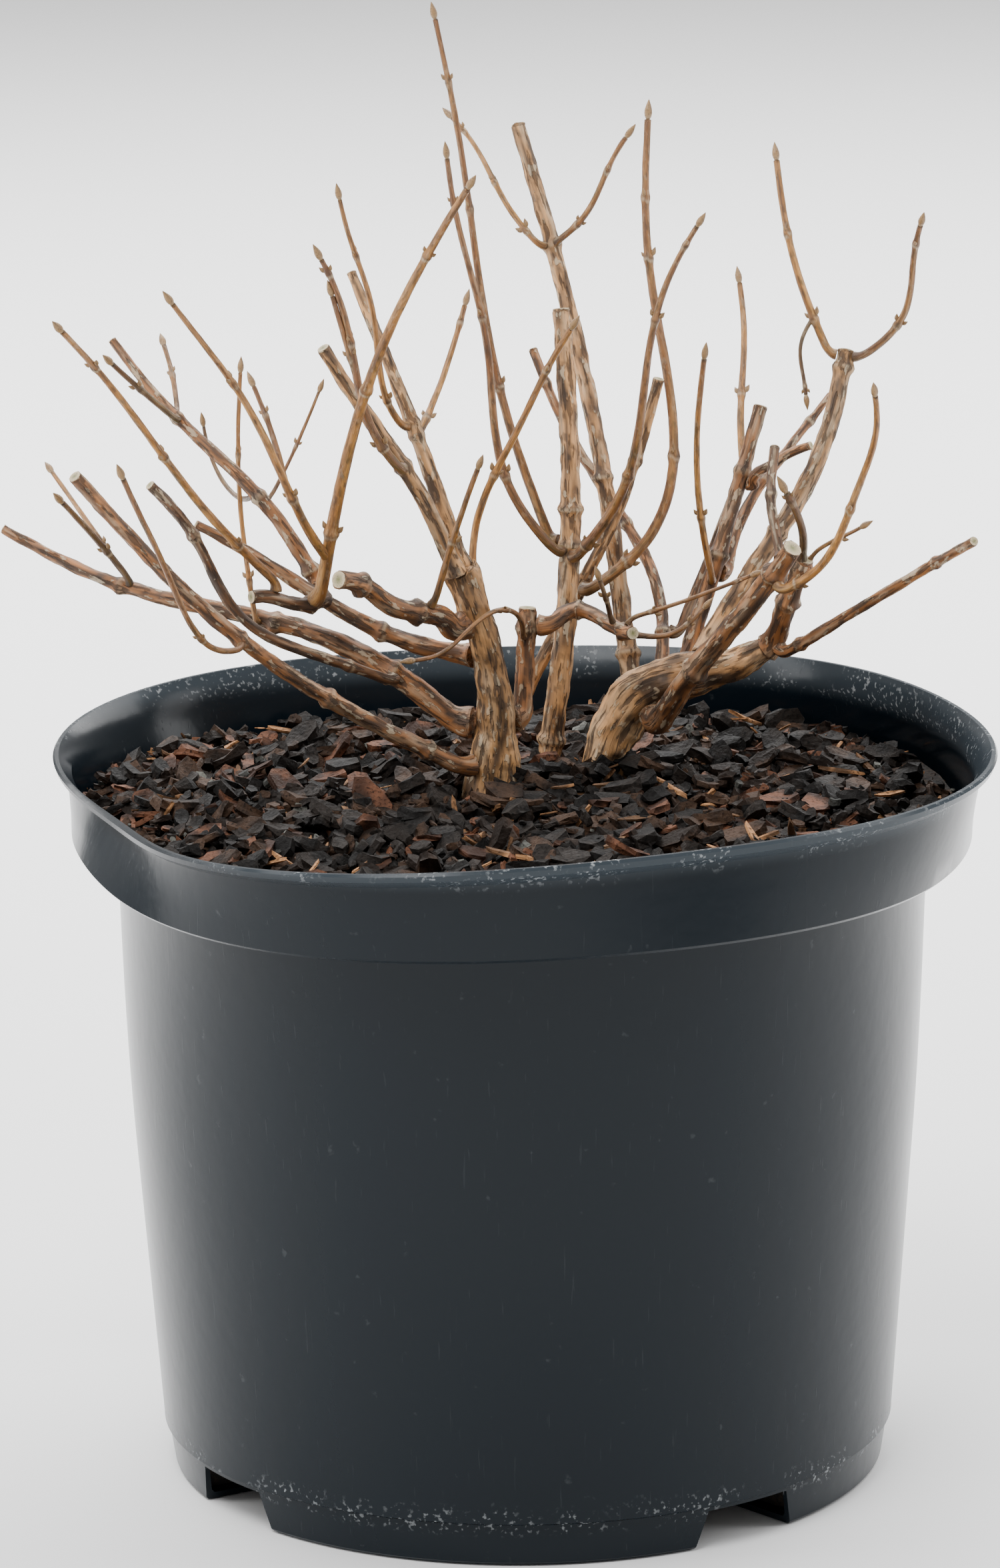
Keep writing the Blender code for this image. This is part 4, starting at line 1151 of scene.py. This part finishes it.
def area_light(name, place, target, size, power):
    data = bpy.data.lights.new(name, "AREA")
    data.shape = "RECTANGLE"
    data.size, data.size_y = size
    data.energy = power
    obj = placed(name, data)
    obj.location = place
    obj.rotation_euler = (Vector(target) - Vector(place)).to_track_quat("-Z", "Y").to_euler()
    return obj


class SHRUB_OT_stage(bpy.types.Operator):
    """Lays a pale floor, sets soft lights and stands the camera at the photograph's angle"""

    bl_idname = "shrub.stage"
    bl_label = "Stage"

    def execute(self, context):
        settings = context.scene.shrub_studio
        bpy.ops.mesh.primitive_plane_add(size=12.0, location=(0, 0, -0.0004))
        floor = context.object
        floor.name = "floor"
        paint, tree, surface = material("studio_floor")
        coat(tree, surface, tuple(settings.floor), 0.7)
        dress(floor, paint)
        crown, window = (0, 0, 0.2), (0.5, 1.8)
        left = area_light("left_window", (-1.6, -0.25, 0.8), crown, window, settings.key)
        right = area_light("right_window", (1.6, -0.15, 0.8), crown, window, settings.key)
        above = area_light("above", (-0.5, -1.0, 2.0), (0, 0, 0.25), (1.0, 0.8), settings.key * 2.2)
        behind = area_light("behind", (0.0, 1.9, 1.7), (0, 1.95, 0), (4.4, 2.6), settings.back)
        world = context.scene.world = bpy.data.worlds.new("white_room")
        world.use_nodes = True
        sky = world.node_tree.nodes["Background"].inputs
        sky["Color"].default_value = (1.0, 1.0, 1.0, 1.0)
        sky["Strength"].default_value = settings.sky
        self.set_camera(context)
        return {"FINISHED"}

    def set_camera(self, context):
        pitch, yaw, roll = (math.radians(a) for a in (CAMERA_PITCH, CAMERA_YAW, CAMERA_ROLL))
        view = Vector((math.sin(yaw) * math.cos(pitch), math.cos(yaw) * math.cos(pitch), -math.sin(pitch)))
        right = view.cross(Vector((0, 0, 1))).normalized()
        up = right.cross(view)
        across = right * math.cos(roll) + up * math.sin(roll)
        upward = up * math.cos(roll) - right * math.sin(roll)
        data = bpy.data.cameras.new("camera")
        data.sensor_fit = "VERTICAL"
        data.sensor_height = SENSOR
        data.lens = SENSOR * FOCAL_PIXELS / FRAME_PIXELS
        data.clip_start = 0.05
        camera = placed("camera", data)
        turn = Matrix((across, upward, -view)).transposed().to_4x4()
        camera.matrix_world = Matrix.Translation(Vector(CAMERA_PLACE) * MM) @ turn
        context.scene.camera = camera


class SHRUB_PT_panel(bpy.types.Panel):
    """Lists the pieces of the shrub"""

    bl_label = "Potted shrub"
    bl_idname = "SHRUB_PT_panel"
    bl_space_type = "VIEW_3D"
    bl_region_type = "UI"
    bl_category = "Shrub"

    def draw(self, context):
        for operator in OPERATORS:
            self.layout.operator(operator.bl_idname)
        scene = context.scene
        for group in (scene.shrub_pot, scene.shrub_bark, scene.shrub_canes, scene.shrub_studio):
            for name in group.bl_rna.properties.keys():
                if name not in ("rna_type", "name"):
                    self.layout.prop(group, name)


GROUPS = {
    "shrub_pot": PotSettings,
    "shrub_bark": BarkSettings,
    "shrub_canes": CaneSettings,
    "shrub_studio": StudioSettings,
}
CANE_OPERATORS = (SHRUB_OT_canes, SHRUB_OT_shoots, SHRUB_OT_buds, SHRUB_OT_cuts)
OPERATORS = (SHRUB_OT_pot, SHRUB_OT_bark, *CANE_OPERATORS, SHRUB_OT_stage)


def register():
    for made in (*GROUPS.values(), *OPERATORS, SHRUB_PT_panel):
        bpy.utils.register_class(made)
    for name, group in GROUPS.items():
        setattr(bpy.types.Scene, name, PointerProperty(type=group))


def unregister():
    for name in GROUPS:
        delattr(bpy.types.Scene, name)
    for made in (SHRUB_PT_panel, *reversed(OPERATORS), *reversed(GROUPS.values())):
        bpy.utils.unregister_class(made)


def main():
    register()
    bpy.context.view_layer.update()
    bpy.ops.shrub.pot()
    bpy.ops.shrub.bark()
    bpy.ops.shrub.canes()
    bpy.ops.shrub.shoots()
    bpy.ops.shrub.buds()
    bpy.ops.shrub.cuts()
    bpy.ops.shrub.stage()


if __name__ == "__main__":
    main()
